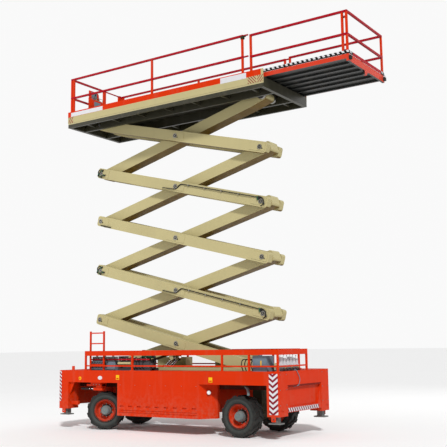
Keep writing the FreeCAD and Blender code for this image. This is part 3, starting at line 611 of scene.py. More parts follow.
def wheel_trim(end, place):
    """Nuts, hub bolts, a lock ring and a valve on one wheel, and ribs on its tyre's wall."""
    which = f"{end}_{place}"
    centre, axis = pivot(f"roll_{which}"), joint_axis(f"roll_{which}")
    out = axis * SIDES[place] * (1 if axis.y > 0 else -1)
    trim = Model()
    nuts = details().wheel_nuts
    for i in range(nuts):
        trim.nut(on_circle(centre + out * 0.005, out, 0.168, i / nuts), out, 0.017, 0.024, 1)
    for count, along, radius, bolt in ((16, 0.085, 0.1255, 0.0045), (8, 0.219, 0.072, 0.008)):
        for i in range(count):
            trim.peg(on_circle(centre + out * along, out, radius, i / count), out, bolt, 0.008, 6, 1)
    trim.turned(centre + out * 0.070, out, ((0, 0.119), (0, 0.132), (0.016, 0.132), (0.016, 0.119)), 48, 2)
    trim.turned(centre + out * 0.219, out, ((0, 0.034), (0.006, 0.034), (0.010, 0.020), (0.012, 0.020)), 24, 2)
    trim.ring(centre + out * 0.181, out, 0.276, 0.008, 64, 8, 3)
    valve_centre = centre + out * 0.075
    stem = on_circle(valve_centre, out, 0.245, 0.53)
    trim.rod(stem, stem + out * 0.035 - (stem - valve_centre).normalized() * 0.012, 0.005, 8, 1)
    trim.make(f"wheel_trim_{which}", f"wheel_{which}", "orange", "steel", "hub", "rubber", slot="orange_paint")
    ribs = Model()
    count = 36
    for face in (1, -1):
        for radius, height, reach in ((0.305, 0.172, 0.008), (0.368, 0.199, 0.004), (0.420, 0.194, 0.005)):
            ribs.ring(centre + out * face * height, out, radius, reach, 72, 6)
        for i in range(count):
            ribs.tube([on_circle(centre + out * face * height, out, radius, (i + 0.25) / count)
                       for height, radius in ((0.193, 0.398), (0.190, 0.440))], 0.0035, 5)
    ribs.make(f"tyre_ribs_{which}", f"wheel_{which}", bpy.data.materials[f"tyre_rubber_{which}"], slot="tyre")


def wheel_brackets():
    """The steering brackets over the left wheels and the curved guards over the right ones."""
    for place, side in SIDES.items():
        left = Model()
        for x0, z0, x1, z1 in ((-3.62, 1.145, -3.06, 1.200), (-3.38, 1.035, -3.06, 1.110),
                               (-3.26, 1.11, -3.12, 1.25)):
            left.box((x0, side * 0.97, z0), (x1, side * 1.11, z1))
        for x0, x1, radius, sides, colour in ((-3.86, -3.60, 0.035, 18, 1), (-3.60, -3.38, 0.016, 14, 2)):
            left.rod((x0, side * 1.04, 1.075), (x1, side * 1.04, 1.075), radius, sides, colour)
        left.make(f"steering_bracket_{place}", "chassis", "orange", "hose", "chrome", slot="orange_paint")
        right = Model()
        right.hose([(x, side * y, z) for x, y, z in
                    ((1.36, 0.93, 1.245), (1.42, 0.95, 1.185), (1.49, 1.00, 1.150), (1.535, 1.04, 1.07),
                     (1.54, 1.05, 1.00))], 0.034, 0, 16)
        right.box((1.30, side * 0.88, 1.20), (1.44, side * 0.98, 1.249), 1)
        right.make(f"wheel_guard_{place}", "chassis", "hub", "dark", slot="dark_paint")


def steering_details():
    """Bolts on the kingpins' plates, and the hoses that reach the steered wheels' brakes."""
    plate_top = span("axle_left")[1].z + 0.002
    for place, side in SIDES.items():
        king = pivot(f"steer_{place}")
        low, high = span(f"side_box_{place}")
        plate_y = (high.y if side > 0 else low.y) - side * 0.12
        fixed = Model()
        for dx in (-0.05, 0.05, 0.15):
            for dy in (-0.05, 0.05):
                fixed.nut((king.x + dx, plate_y + dy, plate_top), -Z, 0.012, 0.014)
        start = Vector((king.x - 0.30, side * 1.06, 1.235))
        fixed.hose([start + Vector((x, -side * y, z)) for x, y, z in
                    ((0, 0, 0), (0.02, 0, -0.16), (0.14, 0.06, -0.20), (0.24, 0.16, -0.10), (0.26, 0.18, 0.01))],
                   0.012, 1, 10)
        fixed.make(f"steering_trim_{place}", "chassis", "steel", "hose", slot="steel")
        caps = Model()
        for out in (-Z, Z):
            seat = king + out * 0.2145
            caps.turned(seat, out, ((0, 0.045), (0.010, 0.045), (0.016, 0.030)), 20)
            for turn in full_turn(4):
                bolt = seat + Vector((math.cos(turn), math.sin(turn), 0)) * 0.034 + out * 0.009
                caps.nut(bolt, out, 0.006, 0.006, 1)
        caps.make(f"kingpin_caps_{place}", f"knuckle_{place}", "orange", "steel", slot="orange_paint")


# Scissor stack

def pin_end(model, centre, side, face):
    """A collar, a keeper plate with two bolts and a grease nipple on a pin's end."""
    seat = Vector((centre.x, side * face, centre.z))
    out = Y * side
    rim = PIN_RADIUS + 0.001
    model.turned(seat, out, ((-0.001, rim), (-0.001, rim + 0.019), (0.014, rim + 0.017), (0.014, rim)), 32)
    end = seat + out * 0.0215
    dome = ((-0.001, 0.92), (0.003, 0.80), (0.003, 0.45), (0.000, 0.40))
    model.turned(end, out, [(along, PIN_RADIUS * share) for along, share in dome], 28, 1)
    model.turned(end, out, ((0, 0.006), (0.006, 0.006), (0.010, 0.003)), 8, 2)
    plate = Matrix.Translation(seat) @ Matrix.Rotation(math.radians(35), 4, "Y")
    model.box((PIN_RADIUS + 0.004, 0, -0.014), (PIN_RADIUS + 0.055, side * 0.010, 0.014), 1, plate)
    for x in (0.016, 0.032):
        model.nut(plate @ Vector((PIN_RADIUS + x, side * 0.010, 0)), out, 0.007, 0.007, 2)


def scissor_hardware():
    """Collars and keepers on every pin, and caps on the top rollers."""
    left, middle, right = stack_pins()
    groups = []
    for stage in range(1, STAGES + 1):
        pins = [middle[stage - 1]] + [left[stage]] * (stage < STAGES) + [right[stage - 1]] * (stage > 1)
        groups.append((f"pin_ends_{stage}", f"outer_arms_{stage}", pins, span("outer_arms_2")[1].y))
    groups.append(("base_pin_ends", "chassis", left[:1], span("base_pins")[1].y - 0.022))
    for name, body, pins, face in groups:
        model = Model()
        for centre in pins:
            for side in SIDES.values():
                pin_end(model, centre, side, face)
        model.make(name, body, "steel", "dark", "zinc", slot="steel")
    caps = Model()
    for side in SIDES.values():
        seat = (right[STAGES].x, side * span("top_rollers")[1].y, right[STAGES].z)
        caps.turned(seat, Y * side, ((-0.002, 0.040), (0.004, 0.036), (0.004, 0.020)), 24)
    caps.make("roller_caps", f"inner_arms_{STAGES}", "steel", slot="steel")


def arm_axes(stage, rises_right):
    """An arm's own axes at its middle pin, X along it, Y across and Z over it, and half its length."""
    left, middle, right = stack_pins()
    start, end = (left[stage - 1], right[stage]) if rises_right else (left[stage], right[stage - 1])
    along = (end - start).normalized()
    return axes_at(middle[stage - 1], along, along.cross(Y)), (end - start).length / 2


def arm_welds():
    """Weld beads round the doublers that strengthen each arm at its pins."""
    reach = 0.100
    for stage in range(1, STAGES + 1):
        for kind, rises_right in (("inner_arms", True), ("outer_arms", False)):
            place, half = arm_axes(stage, rises_right)
            face = span(f"{kind}_2")[1].y - 0.010
            model = Model()
            for y in (face, -face):
                for x0, x1 in ((-half - 0.04, -half + 0.30), (-0.30, 0.30), (half - 0.30, half + 0.04)):
                    beads = laid(place, y, (x0, -reach), (x1, -reach), (x1, reach), (x0, reach), (x0, -reach))
                    for ends in zip(beads, beads[1:]):
                        model.tube(ends, 0.005, 6)
            model.make(f"{kind}_welds_{stage}", f"{kind}_{stage}", "cream", slot="scissor_paint")


def coupling(model, seat, direction):
    """A hose coupling: a green swivel nut with a dark ferrule behind it."""
    direction = direction.normalized()
    radius, nut_length = 0.026, 0.030
    model.peg(seat, direction, radius, nut_length, 6)
    ferrule = ((0, radius * 0.8), (0.045, radius * 0.8), (0.050, radius * 0.6))
    model.turned(seat + direction * nut_length, direction, ferrule, 14, 1)


def hose_joints():
    """Hoses and swivel couplings round the pins, and clips that hold the long hoses to their arms."""
    left = stack_pins()[0]
    face = -span("outer_arms_2")[1].y
    for stage in HOSE_STAGES:
        place, half = arm_axes(stage, False)
        long_run = Model()
        for ends in (((half - 0.12, 0.085), (half - 0.02, 0.075)), ((half - 0.10, 0.03), (half, 0.10))):
            start, end = laid(place, face - 0.021, *ends)
            coupling(long_run, start, end - start)
        long_run.hose(laid(place, face - 0.017, (-0.42, -0.095), (-0.12, -0.085), (0.03, -0.070), (0.11, 0.0),
                           (0.17, 0.075)), 0.011, 1)
        long_run.hose(laid(place, face - 0.021, (half - 0.14, 0.095), (half - 0.02, 0.105),
                           (half + 0.07, 0.060), (half + 0.10, -0.04), (half + 0.04, -0.12)), 0.012, 1)
        for x in (0.45, 1.0, 1.55, 2.1):
            long_run.box((x - 0.014, face - 0.036, 0.066), (x + 0.014, face, 0.104), 2, place)
            long_run.nut(place @ Vector((x, face - 0.002, 0.052)), -Y, 0.007, 0.008, 2)
        long_run.make(f"hose_fittings_{stage}", f"outer_arms_{stage}", "green", "hose", "steel",
                      slot="hose_rubber")
        cluster = Model()
        at_pin = Matrix.Translation(left[stage])
        for x, z, dx, dz in ((0.03, 0.055, 0.07, 0.02), (-0.07, -0.01, -0.03, -0.06),
                             (0.10, -0.075, 0.09, -0.01), (-0.02, -0.095, 0.06, -0.03)):
            start, way = at_pin @ Vector((x, face - 0.022, z)), Vector((dx, 0, dz))
            coupling(cluster, start, way)
            cluster.tube((start, start - way * 0.7), 0.011, 8, 1)
        cluster.hose(laid(at_pin, face - 0.022, (-0.07, -0.03), (-0.095, 0.03), (-0.06, 0.09), (0.02, 0.10),
                          (0.05, 0.06)), 0.011, 1)
        cluster.make(f"hose_cluster_{stage}", f"outer_arms_{stage}", "green", "hose", slot="hose_rubber")
    place, half = arm_axes(3, False)
    clip = Model()
    clip.box((-half + 0.05, face - 0.026, -0.128), (-half + 0.42, face, -0.100), 0, place)
    clip.rod(*laid(place, face - 0.030, (-half + 0.06, -0.114), (-half + 0.45, -0.114)), 0.012, 10, 1)
    clip.make("arm_clip", "outer_arms_3", "dark", "hose", slot="scissor_paint")


def cylinder_details():
    """A port block with its pipe and a scraper ring on each lift cylinder."""
    foot, line = pivot("barrel_tilt"), joint_axis("rod_slide")
    top = span("lift_barrels")[1].z
    length = (top - foot.z - BARREL_RADIUS * abs(line.x)) / abs(line.z)
    scraper = ((0, 0.0445), (0, 0.0635), (0.006, 0.0635), (0.006, 0.0445))
    model = Model()
    for side in SIDES.values():
        start = foot + Y * side * 0.120
        seat = start + line * (length - 0.42) - Y * side * 0.062
        place = axes_at(seat, line, Vector((-line.z, 0, line.x)))
        model.box((-0.03, 0, -0.016), (0.03, -side * 0.018, 0.016), 0, place)
        pipe = seat - Y * side * 0.008
        model.tube((pipe, pipe - line * 0.30), 0.006, 8, 1)
        model.turned(start + line * (length - 0.012), line, scraper, 32, 1)
    model.make("cylinder_trim", "lift_barrels", "dark", "steel", slot="dark_paint")


# Chassis

def side_marks():
    """The blank stickers, the round and oval markers and the small lamp on the near side."""
    face = span("side_box_near")[0].y
    marks = Model()
    for x, z in ((-2.391, 1.395), (0.585, 1.362)):
        marks.box((x - 0.055, face - 0.003, z - 0.06), (x + 0.055, face + 0.001, z + 0.06))
        marks.box((x - 0.040, face - 0.0042, z - 0.045), (x + 0.040, face - 0.002, z - 0.015), 1)
    for y, radius, colour in ((face, 0.045, 0), (face - 0.004, 0.022, 1)):
        marks.turned((-3.735, y, 1.356), -Y, ((0, radius), (0.0042, radius), (0.006, radius * 0.94)), 28, colour)
    marks.slab([(-3.007 + 0.075 * math.cos(a), face, 1.377 + 0.05 * math.sin(a)) for a in full_turn(24)],
               -Y * 0.006, 2)
    marks.make("side_marks", "chassis", "yellow", "orange", "white", slot="orange_paint")
    lamp = Model()
    seat, out = (0.381, -1.058, 1.050), (0.785, -0.620, 0)
    lamp.turned(seat, out, ((-0.004, 0.026), (0.018, 0.026), (0.026, 0.047), (0.062, 0.050), (0.066, 0.045)), 28)
    lamp.turned(seat, out, ((0.063, 0.044), (0.070, 0.040), (0.074, 0.024)), 28, 1)
    lamp.make("work_lamp", "chassis", "white", "lens", slot="orange_paint")


def arrow_paint():
    """White arrowheads that point down a dark red panel."""
    low, high = span("end_frame_right")

    def arrows(finish):
        slope = finish.size(finish.maths("SUBTRACT", finish.axis("X"), middle_of(low.x, high.x)))
        level = finish.maths("SUBTRACT", finish.axis("Z"), finish.both(slope, 0.75))
        turns = finish.maths("FRACT", finish.maths("DIVIDE", level, details().arrow_period))
        return finish.mix(finish.under(turns, 0.52), colours().stripe_red, colours().white)

    return paint("arrow_paint", arrows, 0.4, 0.15)


def stripe_paint(name, along):
    c, period = colours(), details().stripe_period * 0.9
    return paint(name, lambda finish: finish.striped(along, period, c.stripe_red, c.white), 0.4, 0.15)


def end_marks():
    """The arrowhead panels at the right corners, the left corners' striped edges, the end's strips and a strip
    of painted shadow under the right end's top lip.
    """
    low, high = span("end_frame_right")
    left_low, left_high = span("end_frame_left")
    thin = 0.0015
    panels = (
        ("arrow_panels", arrow_paint(), "board_paint",
         [((low.x + 0.065, y, low.z + 0.16), (high.x - 0.03, y + out, high.z - 0.05))
          for y, out in ((low.y, -thin), (high.y, thin))]),
        ("left_edge_stripes", stripe_paint("edge_paint", (1, 0, 1.1)), "board_paint",
         [((left_low.x + 0.006, y, 0.74), (left_low.x + 0.075, y + out, 1.555))
          for y, out in ((left_low.y, -thin), (left_high.y, thin))]),
        # Painted shadow: a dark red strip under the top beam's lip on the right end, where its shadow falls.
        ("end_lip_shadow", "shade", "orange_paint", [((high.x - 0.004, -0.80, 1.205), (high.x - 0.0005, 0.80, 1.248))]),
        ("end_stripes", stripe_paint("end_strip_paint", (0, 1, 0.7)), "board_paint",
         [((high.x - 0.0052, -0.83, 0.63), (high.x - 0.0025, 0.70, 0.725))]),
    )
    for name, material, slot, boxes in panels:
        model = Model()
        for first, last in boxes:
            model.box(first, last)
        model.make(name, "chassis", material, slot=slot)


def chassis_bolts():
    """Bolts on the jack housings, the side boxes' panels and the feet of the guard rail."""
    bolts = Model()
    for outer, out in ((span("end_frame_left")[0].x, -X), (span("end_frame_right")[1].x, X)):
        for y in (-1.20, -0.90, 0.90, 1.20):
            for z in (0.80, 1.15, 1.50):
                bolts.nut((outer, y, z), out, 0.012, 0.010)
    rails_low, rails_high = span("deck_rails")
    foot = rails_low.z + 0.010
    for place, side in SIDES.items():
        low, high = span(f"side_box_{place}")
        face = side * max(abs(low.y), high.y)
        for x in (-2.30, -1.80, -1.30, -0.80, -0.30, 0.15):
            for z in (1.20, 0.62):
                bolts.turned((x, face, z), Y * side, ((0, 0.009), (0.005, 0.007)), 10)
        y = side * (rails_high.y - 0.0225)
        for x in DECK_POSTS + ((NEAR_POST,) if side < 0 else ()):
            bolts.box((x - 0.06, y - 0.034, rails_low.z), (x + 0.06, y + 0.034, foot), 1)
            for dx in (-0.044, 0.044):
                bolts.nut((x + dx, y, foot), Z, 0.009, 0.008)
    bolts.make("chassis_bolts", "chassis", "steel", "orange", slot="steel")


def end_hose():
    """The pale hose that hangs in a loop over the right end's face, held by a clip at its upper end."""
    high = span("end_frame_right")[1]
    face, top = high.x, high.z
    loop = Model()
    points = [(face - 0.03, -0.46, top + 0.030), (face + 0.010, -0.42, top + 0.005), (face + 0.016, -0.33, 1.47),
              (face + 0.016, -0.27, 1.37), (face + 0.014, -0.30, 1.28), (face + 0.012, -0.36, 1.225),
              (face - 0.03, -0.41, 1.20), (face - 0.075, -0.44, 1.19)]
    loop.tube(curve_through(points, 10), 0.008)
    loop.box((face - 0.07, -0.49, top), (face - 0.02, -0.43, top + 0.022), 1)
    loop.make("end_hose", "chassis", "blue_grey", "steel", slot="hose_rubber")


def ladder_grips():
    """Ribbed treads on the ladder's rungs."""
    low, high = span("ladder")
    model = Model()
    for z in (low.z + 0.165 + i * 0.28 for i in range(4)):
        for x in (low.x + 0.06 + i * 0.033 for i in range(13)):
            model.box((x, low.y + 0.006, z - 0.001), (x + 0.012, high.y - 0.006, z + 0.003))
    model.make("ladder_grips", "chassis", "crimson", slot="rail_paint")


# Machinery on the deck

def engine_details():
    """A fan behind bars, a belt, a pipe, caps, leads and hoses on the engine."""
    low, high = span("engine")
    model = Model()
    deck, middle, near = low.z, middle_of(low.y, high.y), low.y - 0.012
    hub = Matrix.Translation((low.x + 0.005, middle, deck + 0.215))
    for turn in full_turn(8):
        blade = hub @ Matrix.Rotation(turn, 4, "X") @ Matrix.Rotation(0.5, 4, "Z")
        model.box((-0.022, 0.02, -0.004), (0.022, 0.105, 0.004), 1, blade)
    for z in (deck + 0.09 + i * 0.032 for i in range(9)):
        model.rod((low.x, low.y + 0.02, z), (low.x, high.y - 0.02, z), 0.004, 6, 2)
    for x in (high.x - 0.24 - i * 0.17 for i in range(4)):
        model.turned((x, low.y + 0.115, deck + 0.315), Z, ((0, 0.030), (0.030, 0.030), (0.034, 0.022)), 18, 2)
        model.hose([(x, low.y + 0.03, deck + 0.20), (x + 0.02, low.y + 0.005, deck + 0.25),
                    (x, low.y + 0.05, deck + 0.30), (x, low.y + 0.11, deck + 0.33)], 0.006, 3)
    model.tube([(high.x - 0.035, middle + y, deck + z) for y, z in
                ((-0.11, 0.13), (-0.04, 0.06), (0.03, 0.13), (0.10, 0.215), (0.055, 0.26), (0.01, 0.215),
                 (-0.11, 0.13))], 0.008, 6, 3)
    model.hose([(high.x - 0.15, middle - 0.02, deck + 0.37), (high.x - 0.02, middle - 0.02, deck + 0.38),
                (high.x + 0.02, middle, deck + 0.30), (high.x - 0.05, middle + 0.02, deck + 0.25)], 0.032, 3, 14)
    model.rod((low.x + 0.02, near, deck + 0.285), (high.x - 0.02, near, deck + 0.285), 0.018, 16, 4)
    model.rod((low.x + 0.01, near, deck + 0.185), (low.x + 0.44, near, deck + 0.185), 0.036, 18, 5)
    for x in (low.x + 0.50 + i * 0.11 for i in range(4)):
        model.hose([(x, near + 0.01, deck + 0.26), (x + 0.03, near - 0.03, deck + 0.18),
                    (x + 0.01, near - 0.02, deck + 0.08), (x + 0.05, near + 0.02, deck + 0.03)], 0.012, 3)
    for x in (low.x + 0.10 + i * 0.17 for i in range(6)):
        model.box((x, near - 0.005, deck + 0.26), (x + 0.030, near + 0.03, deck + 0.31), 2)
    model.make("engine_details", "chassis", "dark", "dark", "steel", "hose", "crimson", "cream",
               slot="machine_grey")


def unit_details():
    """Lids, caps, gauges and hoses on the tanks and the hydraulic units."""
    model = Model()
    for node in ("hydraulic_unit", "hydraulic_tank", "deck_tanks"):
        low, high = span(node)
        for x in (low.x + 0.08, middle_of(low.x, high.x), high.x - 0.08):
            model.peg((x, middle_of(low.y, high.y), low.z), Z, 0.02, 0.004, 8, 1)
    low, high = span("hydraulic_unit")
    near, foot, top = low.y, low.z, high.z
    for x in (-3.40, -3.20, -2.82):
        model.turned((x, middle_of(low.y, high.y), top - 0.021), Z,
                     ((0, 0.045), (0.05, 0.045), (0.06, 0.030), (0.075, 0.030)), 22)
    for x0, x1 in ((-3.47, -3.27), (-3.16, -3.00), (-2.90, -2.68)):
        model.box((x0, near + 0.04, top - 0.03), (x1, near + 0.19, top + 0.11))
        model.peg((middle_of(x0, x1), near + 0.115, top + 0.11), Z, 0.030, 0.022, 16, 1)
    model.rod((-3.49, near + 0.02, top + 0.035), (-2.46, near + 0.02, top + 0.035), 0.018, 14, 4)
    for x in (-3.46 + i * 0.09 for i in range(7)):
        model.hose([(x, near + 0.002, foot + 0.08), (x, near - 0.05, foot + 0.10),
                    (x + 0.03, near - 0.05, foot + 0.19), (x + 0.05, near + 0.01, foot + 0.22)], 0.010, 2)
    for i in range(3):
        y = near + 0.06 + i * 0.05
        model.hose([(-2.645, y, foot + 0.15), (-2.55, y, foot + 0.22 + 0.03 * i), (-2.49, y, foot + 0.15)],
                   0.010, 2)
    x_tank, y_tank, z_tank = span("hydraulic_tank")[0]
    model.box((x_tank + 0.22, y_tank - 0.002, z_tank + 0.10), (x_tank + 0.25, y_tank, z_tank + 0.25), 3)
    for x in (x_tank - 0.06 - i * 0.09 for i in range(4)):
        model.hose([(x, y_tank + 0.10, z_tank + 0.004), (x, y_tank + 0.03, z_tank + 0.16),
                    (x + 0.04, y_tank + 0.08, z_tank + 0.28), (x_tank + 0.01, y_tank + 0.12, z_tank + 0.24)],
                   0.013, 2)
    model.make("unit_details", "chassis", "grey", "steel", "hose", "yellow", "crimson", slot="machine_grey")


def valve_details():
    """White covers, levers, dials and small coloured fittings on the ground controls."""
    low, high = span("ground_control")
    face, foot = high.x, low.z
    model = Model()
    for i in range(6):
        y = low.y + 0.06 + i * 0.15
        middle, top = y + 0.047, foot + 0.33 - 0.025 * (i % 3)
        model.box((face - 0.029, y + 0.006, foot + 0.17), (face - 0.022, y + 0.089, top - 0.02))
        model.rod((face - 0.07, middle, top), (face - 0.055, middle, top + 0.07), 0.004, 8, 2)
        model.turned((face - 0.055, middle, top + 0.066), Z, ((0, 0.008), (0.010, 0.011), (0.020, 0.007)), 14, 3)
        model.peg((face - 0.001, middle, foot + 0.075), X, 0.016, 0.012, 6, 1 if i % 2 else 4)
        model.hose([(face + 0.010, middle, foot + 0.075), (face + 0.032, middle, foot + 0.055),
                    (face + 0.03, y + 0.10, foot + 0.018), (face - 0.02, y + 0.16, foot + 0.008)], 0.007, 2)
    model.make("valve_details", "chassis", "white", "yellow", "hose", "red", "zinc", slot="machine_grey")


# Platform and extension

def platform_plates():
    """The blank white plates on the platform's sides."""
    low, high = span("toe_boards")
    model = Model()
    for side, face in ((-1, low.y), (1, high.y)):
        for x0, x1, z0, z1 in ((-4.34, -3.12, 8.802, 8.918), (0.90, 1.68, 8.782, 8.928)):
            model.box((x0, face, z0), (x1, face + side * 0.0012, z1))
            for x in (x0 + 0.03, x1 - 0.03):
                model.turned((x, face + side * 0.001, middle_of(z0, z1)), Y * side,
                             ((0, 0.007), (0.002, 0.006)), 10, 1)
    model.make("platform_plates", "platform", "white", "steel", slot="board_paint")


def rail_fittings():
    """Sleeves and pins at the feet of the guard rail posts, stubs of the bars and a cap on a post."""
    low, high = span("platform_rails")
    floor = low.z
    model = Model()
    for side in SIDES.values():
        y = side * (high.y - 0.025)
        for x in PLATFORM_POSTS:
            model.box((x - 0.032, y - 0.029, floor), (x + 0.032, y + 0.024, floor + 0.09))
            model.rod((x, y - 0.036, floor + 0.055), (x, y + 0.024, floor + 0.055), 0.007, 10, 1)
        for z in (MIDDLE_BAR, high.z - 0.026):
            model.rod((1.585, y, z), (1.735, y, z), 0.021)
    cap = Matrix.Translation((PLATFORM_POSTS[-1], 0.025 - high.y, high.z))
    model.box((-0.034, -0.034, -0.11), (0.050, 0.034, -0.030), 2, cap)
    model.box((0.02, -0.020, -0.060), (0.10, 0.020, -0.040), 2, cap)
    model.make("rail_fittings", "platform", "crimson", "steel", "dark", slot="rail_paint")


def desk_details():
    """A blue-grey panel, a joystick, buttons, guard bars and an upright panel on the operator's desk."""
    low, high = span("control_box")
    x0, x1, edge, top = low.x + 0.04, low.x + 0.18, low.y + 0.355, high.z
    normal = Vector((0.09, 0, 0.14)).normalized()
    place = axes_at((x0, -0.215, top), Vector((0.14, 0, -0.09)).normalized(), normal)
    model = Model()
    model.box((0.010, -0.195, 0.0), (0.155, 0.195, 0.004), 0, place)
    # Each control's X and Y on the panel, the number of its sides, its paint and its profile.
    joystick = ((0, 0.030), (0.010, 0.026), (0.022, 0.010), (0.10, 0.009), (0.105, 0.018), (0.150, 0.016),
                (0.160, 0.008))
    stop = ((0, 0.016), (0.02, 0.016), (0.022, 0.026), (0.036, 0.024), (0.042, 0.012))
    controls = [(0.08, -0.10, 18, 1, joystick), (0.06, 0.13, 20, 2, stop)]
    controls += [(0.04 + j * 0.06, i * 0.04, 12, 3 if (i + j) % 2 else 1, ((0, 0.010), (0.012, 0.009)))
                 for i in range(3) for j in range(2)]
    for x, y, sides, colour, profile in controls:
        model.turned(place @ Vector((x, y, 0.004)), normal, profile, sides, colour)
    model.box((x1, low.y + 0.06, top - 0.30), (x1 + 0.003, edge - 0.03, top - 0.14))
    for y in (-0.40, -0.03):
        model.tube([(x1 - 0.01, y, top - 0.13), (x1 + 0.03, y, top - 0.02), (x0 + 0.02, y, top + 0.05),
                    (x0 - 0.035, y, top + 0.02)], 0.007, 8, 4)
    model.rod((x1 + 0.03, -0.40, top - 0.02), (x1 + 0.03, -0.03, top - 0.02), 0.007, 8, 4)
    # The upright panel stands behind the desk, its blue-grey face towards the operator.
    front = low.x + 0.036
    model.box((front - 0.030, low.y + 0.005, top - 0.10), (front, edge, top + 0.22), 5)
    model.box((front, low.y + 0.055, top + 0.02), (front + 0.004, edge - 0.03, top + 0.195))
    for y in (low.y + 0.005, edge - 0.020):
        model.slab([(front, y, top - 0.01), (front, y, top + 0.21), (front + 0.045, y, top + 0.16),
                    (front + 0.07, y, top - 0.01)], (0, 0.020, 0), 5)
    model.make("desk_details", "platform", "blue_grey", "dark", "red", "yellow", "steel", "orange",
               slot="machine_grey")


def underside_details():
    """Angle cleats and bolts where the platform's cross beams meet its carriers, and a cable tray."""
    low, high = span("platform_deck")
    foot = low.z
    step = (high.x - low.x - 1.0) / 6
    model = Model()
    for side in SIDES.values():
        for x in (low.x + 0.5 + i * step for i in range(7)):
            model.box((x - 0.05, side * 0.511, foot + 0.085), (x + 0.05, side * 0.523, foot + 0.175))
            for dz in (0.11, 0.15):
                model.nut((x + 0.04, side * 0.523, foot + dz), Y * side, 0.008, 0.007, 1)
        model.box((low.x + 0.15, side * 0.80 - 0.03, foot + 0.165),
                  (high.x - 0.15, side * 0.80 + 0.03, foot + 0.172))
    model.hose([(low.x + 0.2, 0.83, foot + 0.19), (low.x + 2.2, 0.79, foot + 0.185),
                (low.x + 4.4, 0.81, foot + 0.19), (high.x - 0.2, 0.80, foot + 0.185)], 0.010, 2)
    model.make("underside_details", "platform", "dark", "steel", "hose", slot="dark_paint")


def extension_details():
    """Links between the paired end posts, pad bolts and the small white end piece."""
    low, high = span("extension_rails")
    end_x, y = high.x - 0.025, low.y + 0.025
    model = Model()
    for z in (high.z - 0.16, low.z + 0.10):
        model.box((end_x - 0.115, y - 0.024, z - 0.018), (end_x + 0.005, y + 0.030, z + 0.018))
        model.nut((end_x - 0.055, y - 0.024, z), -Y, 0.010, 0.006, 1)
    low, high = span("extension_pads")
    for side in SIDES.values():
        for z in (low.z + 0.02, high.z - 0.02):
            model.turned((high.x - 0.012, side * (high.y - 0.045), z), X, ((0, 0.011), (0.006, 0.009)), 12, 1)
    model.box((low.x + 0.004, high.y - 0.06, high.z), (high.x - 0.004, high.y - 0.01, high.z + 0.05), 2)
    model.make("extension_details", "extension", "red", "steel", "white", slot="rail_paint")


# Stage

def linked(name, data):
    """A new object in the scene."""
    made = bpy.data.objects.new(name, data)
    bpy.context.scene.collection.objects.link(made)
    return made


def build_stage():
    """A pale floor, soft lights and the photograph's camera."""
    stage = bpy.context.scene.lift_stage
    reach = 300
    mesh = bpy.data.meshes.new("floor")
    mesh.from_pydata([(-reach, -reach, 0), (reach, -reach, 0), (reach, reach, 0), (-reach, reach, 0)], [],
                     [[0, 1, 2, 3]])
    finish = Finish("floor_paint", 0.9)
    finish.colour(finish.mix(finish.noise(0.4, 3), (stage.floor_tone,) * 3, (stage.floor_tone * 0.97,) * 3))
    mesh.materials.append(finish.material)
    made = [linked("floor", mesh)]
    # Each light's name and kind, its place and target, its strength, and its angle or size.
    lights = (("key", "SUN", (12.5, -13.5, 19), (0, 0, 4.5), stage.key_strength, math.radians(5.5)),
              ("fill", "AREA", (-15, -13, 8), (0, 0, 4), stage.fill_power, 9.0),
              ("back", "AREA", (4, 16, 14), (0, 0, 5), stage.back_power, 9.0))
    for name, kind, place, target, strength, size in lights:
        data = bpy.data.lights.new(name, kind)
        data.energy = strength
        setattr(data, "angle" if kind == "SUN" else "size", size)
        lamp = linked(name, data)
        lamp.location = place
        lamp.rotation_mode = "QUATERNION"
        lamp.rotation_quaternion = (Vector(target) - Vector(place)).to_track_quat("-Z", "Y")
        made.append(lamp)
    build_sky(stage)
    bpy.context.scene.view_settings.view_transform = "Standard"
    build_camera()


def build_sky(stage):
    """A soft white sky, which the camera sees as a paler backdrop."""
    world = bpy.data.worlds.new("sky")
    world.use_nodes = True
    nodes, links = world.node_tree.nodes, world.node_tree.links
    seen = nodes.new("ShaderNodeMixShader")
    links.new(nodes.new("ShaderNodeLightPath").outputs["Is Camera Ray"], seen.inputs["Fac"])
    shades = ((nodes["Background"], stage.sky_strength),
              (nodes.new("ShaderNodeBackground"), stage.backdrop_strength))
    for socket, (shade, strength) in zip(seen.inputs[1:], shades):
        shade.inputs["Color"].default_value = (1, 1, 1, 1)
        shade.inputs["Strength"].default_value = strength
        links.new(shade.outputs[0], socket)
    links.new(seen.outputs[0], nodes["World Output"].inputs["Surface"])
    bpy.context.scene.world = world


def build_camera():
    yaw, pitch, roll = (math.radians(angle) for angle in (CAMERA_YAW, CAMERA_PITCH, CAMERA_ROLL))
    ahead = Vector((-math.sin(yaw) * math.cos(pitch), math.cos(yaw) * math.cos(pitch), math.sin(pitch)))
    right = Vector((math.cos(yaw), math.sin(yaw), 0))
    up = right.cross(ahead)
    turned = Matrix((right * math.cos(roll) + up * math.sin(roll), up * math.cos(roll) - right * math.sin(roll),
                     -ahead)).transposed().to_4x4()
    data = bpy.data.cameras.new("photo_camera")
    data.sensor_width = SENSOR_WIDTH
    data.lens = CAMERA_FOCAL * SENSOR_WIDTH
    data.clip_end = 500.0
    camera = linked("photo_camera", data)
    camera.matrix_world = Matrix.Translation(CAMERA_PLACE) @ turned
    bpy.context.scene.camera = camera


# Settings, operators and the panel

def colour_setting(name, description, value):
    return FloatVectorProperty(name=name, description=description, subtype="COLOR", size=3, min=0, max=1,
                               default=value)


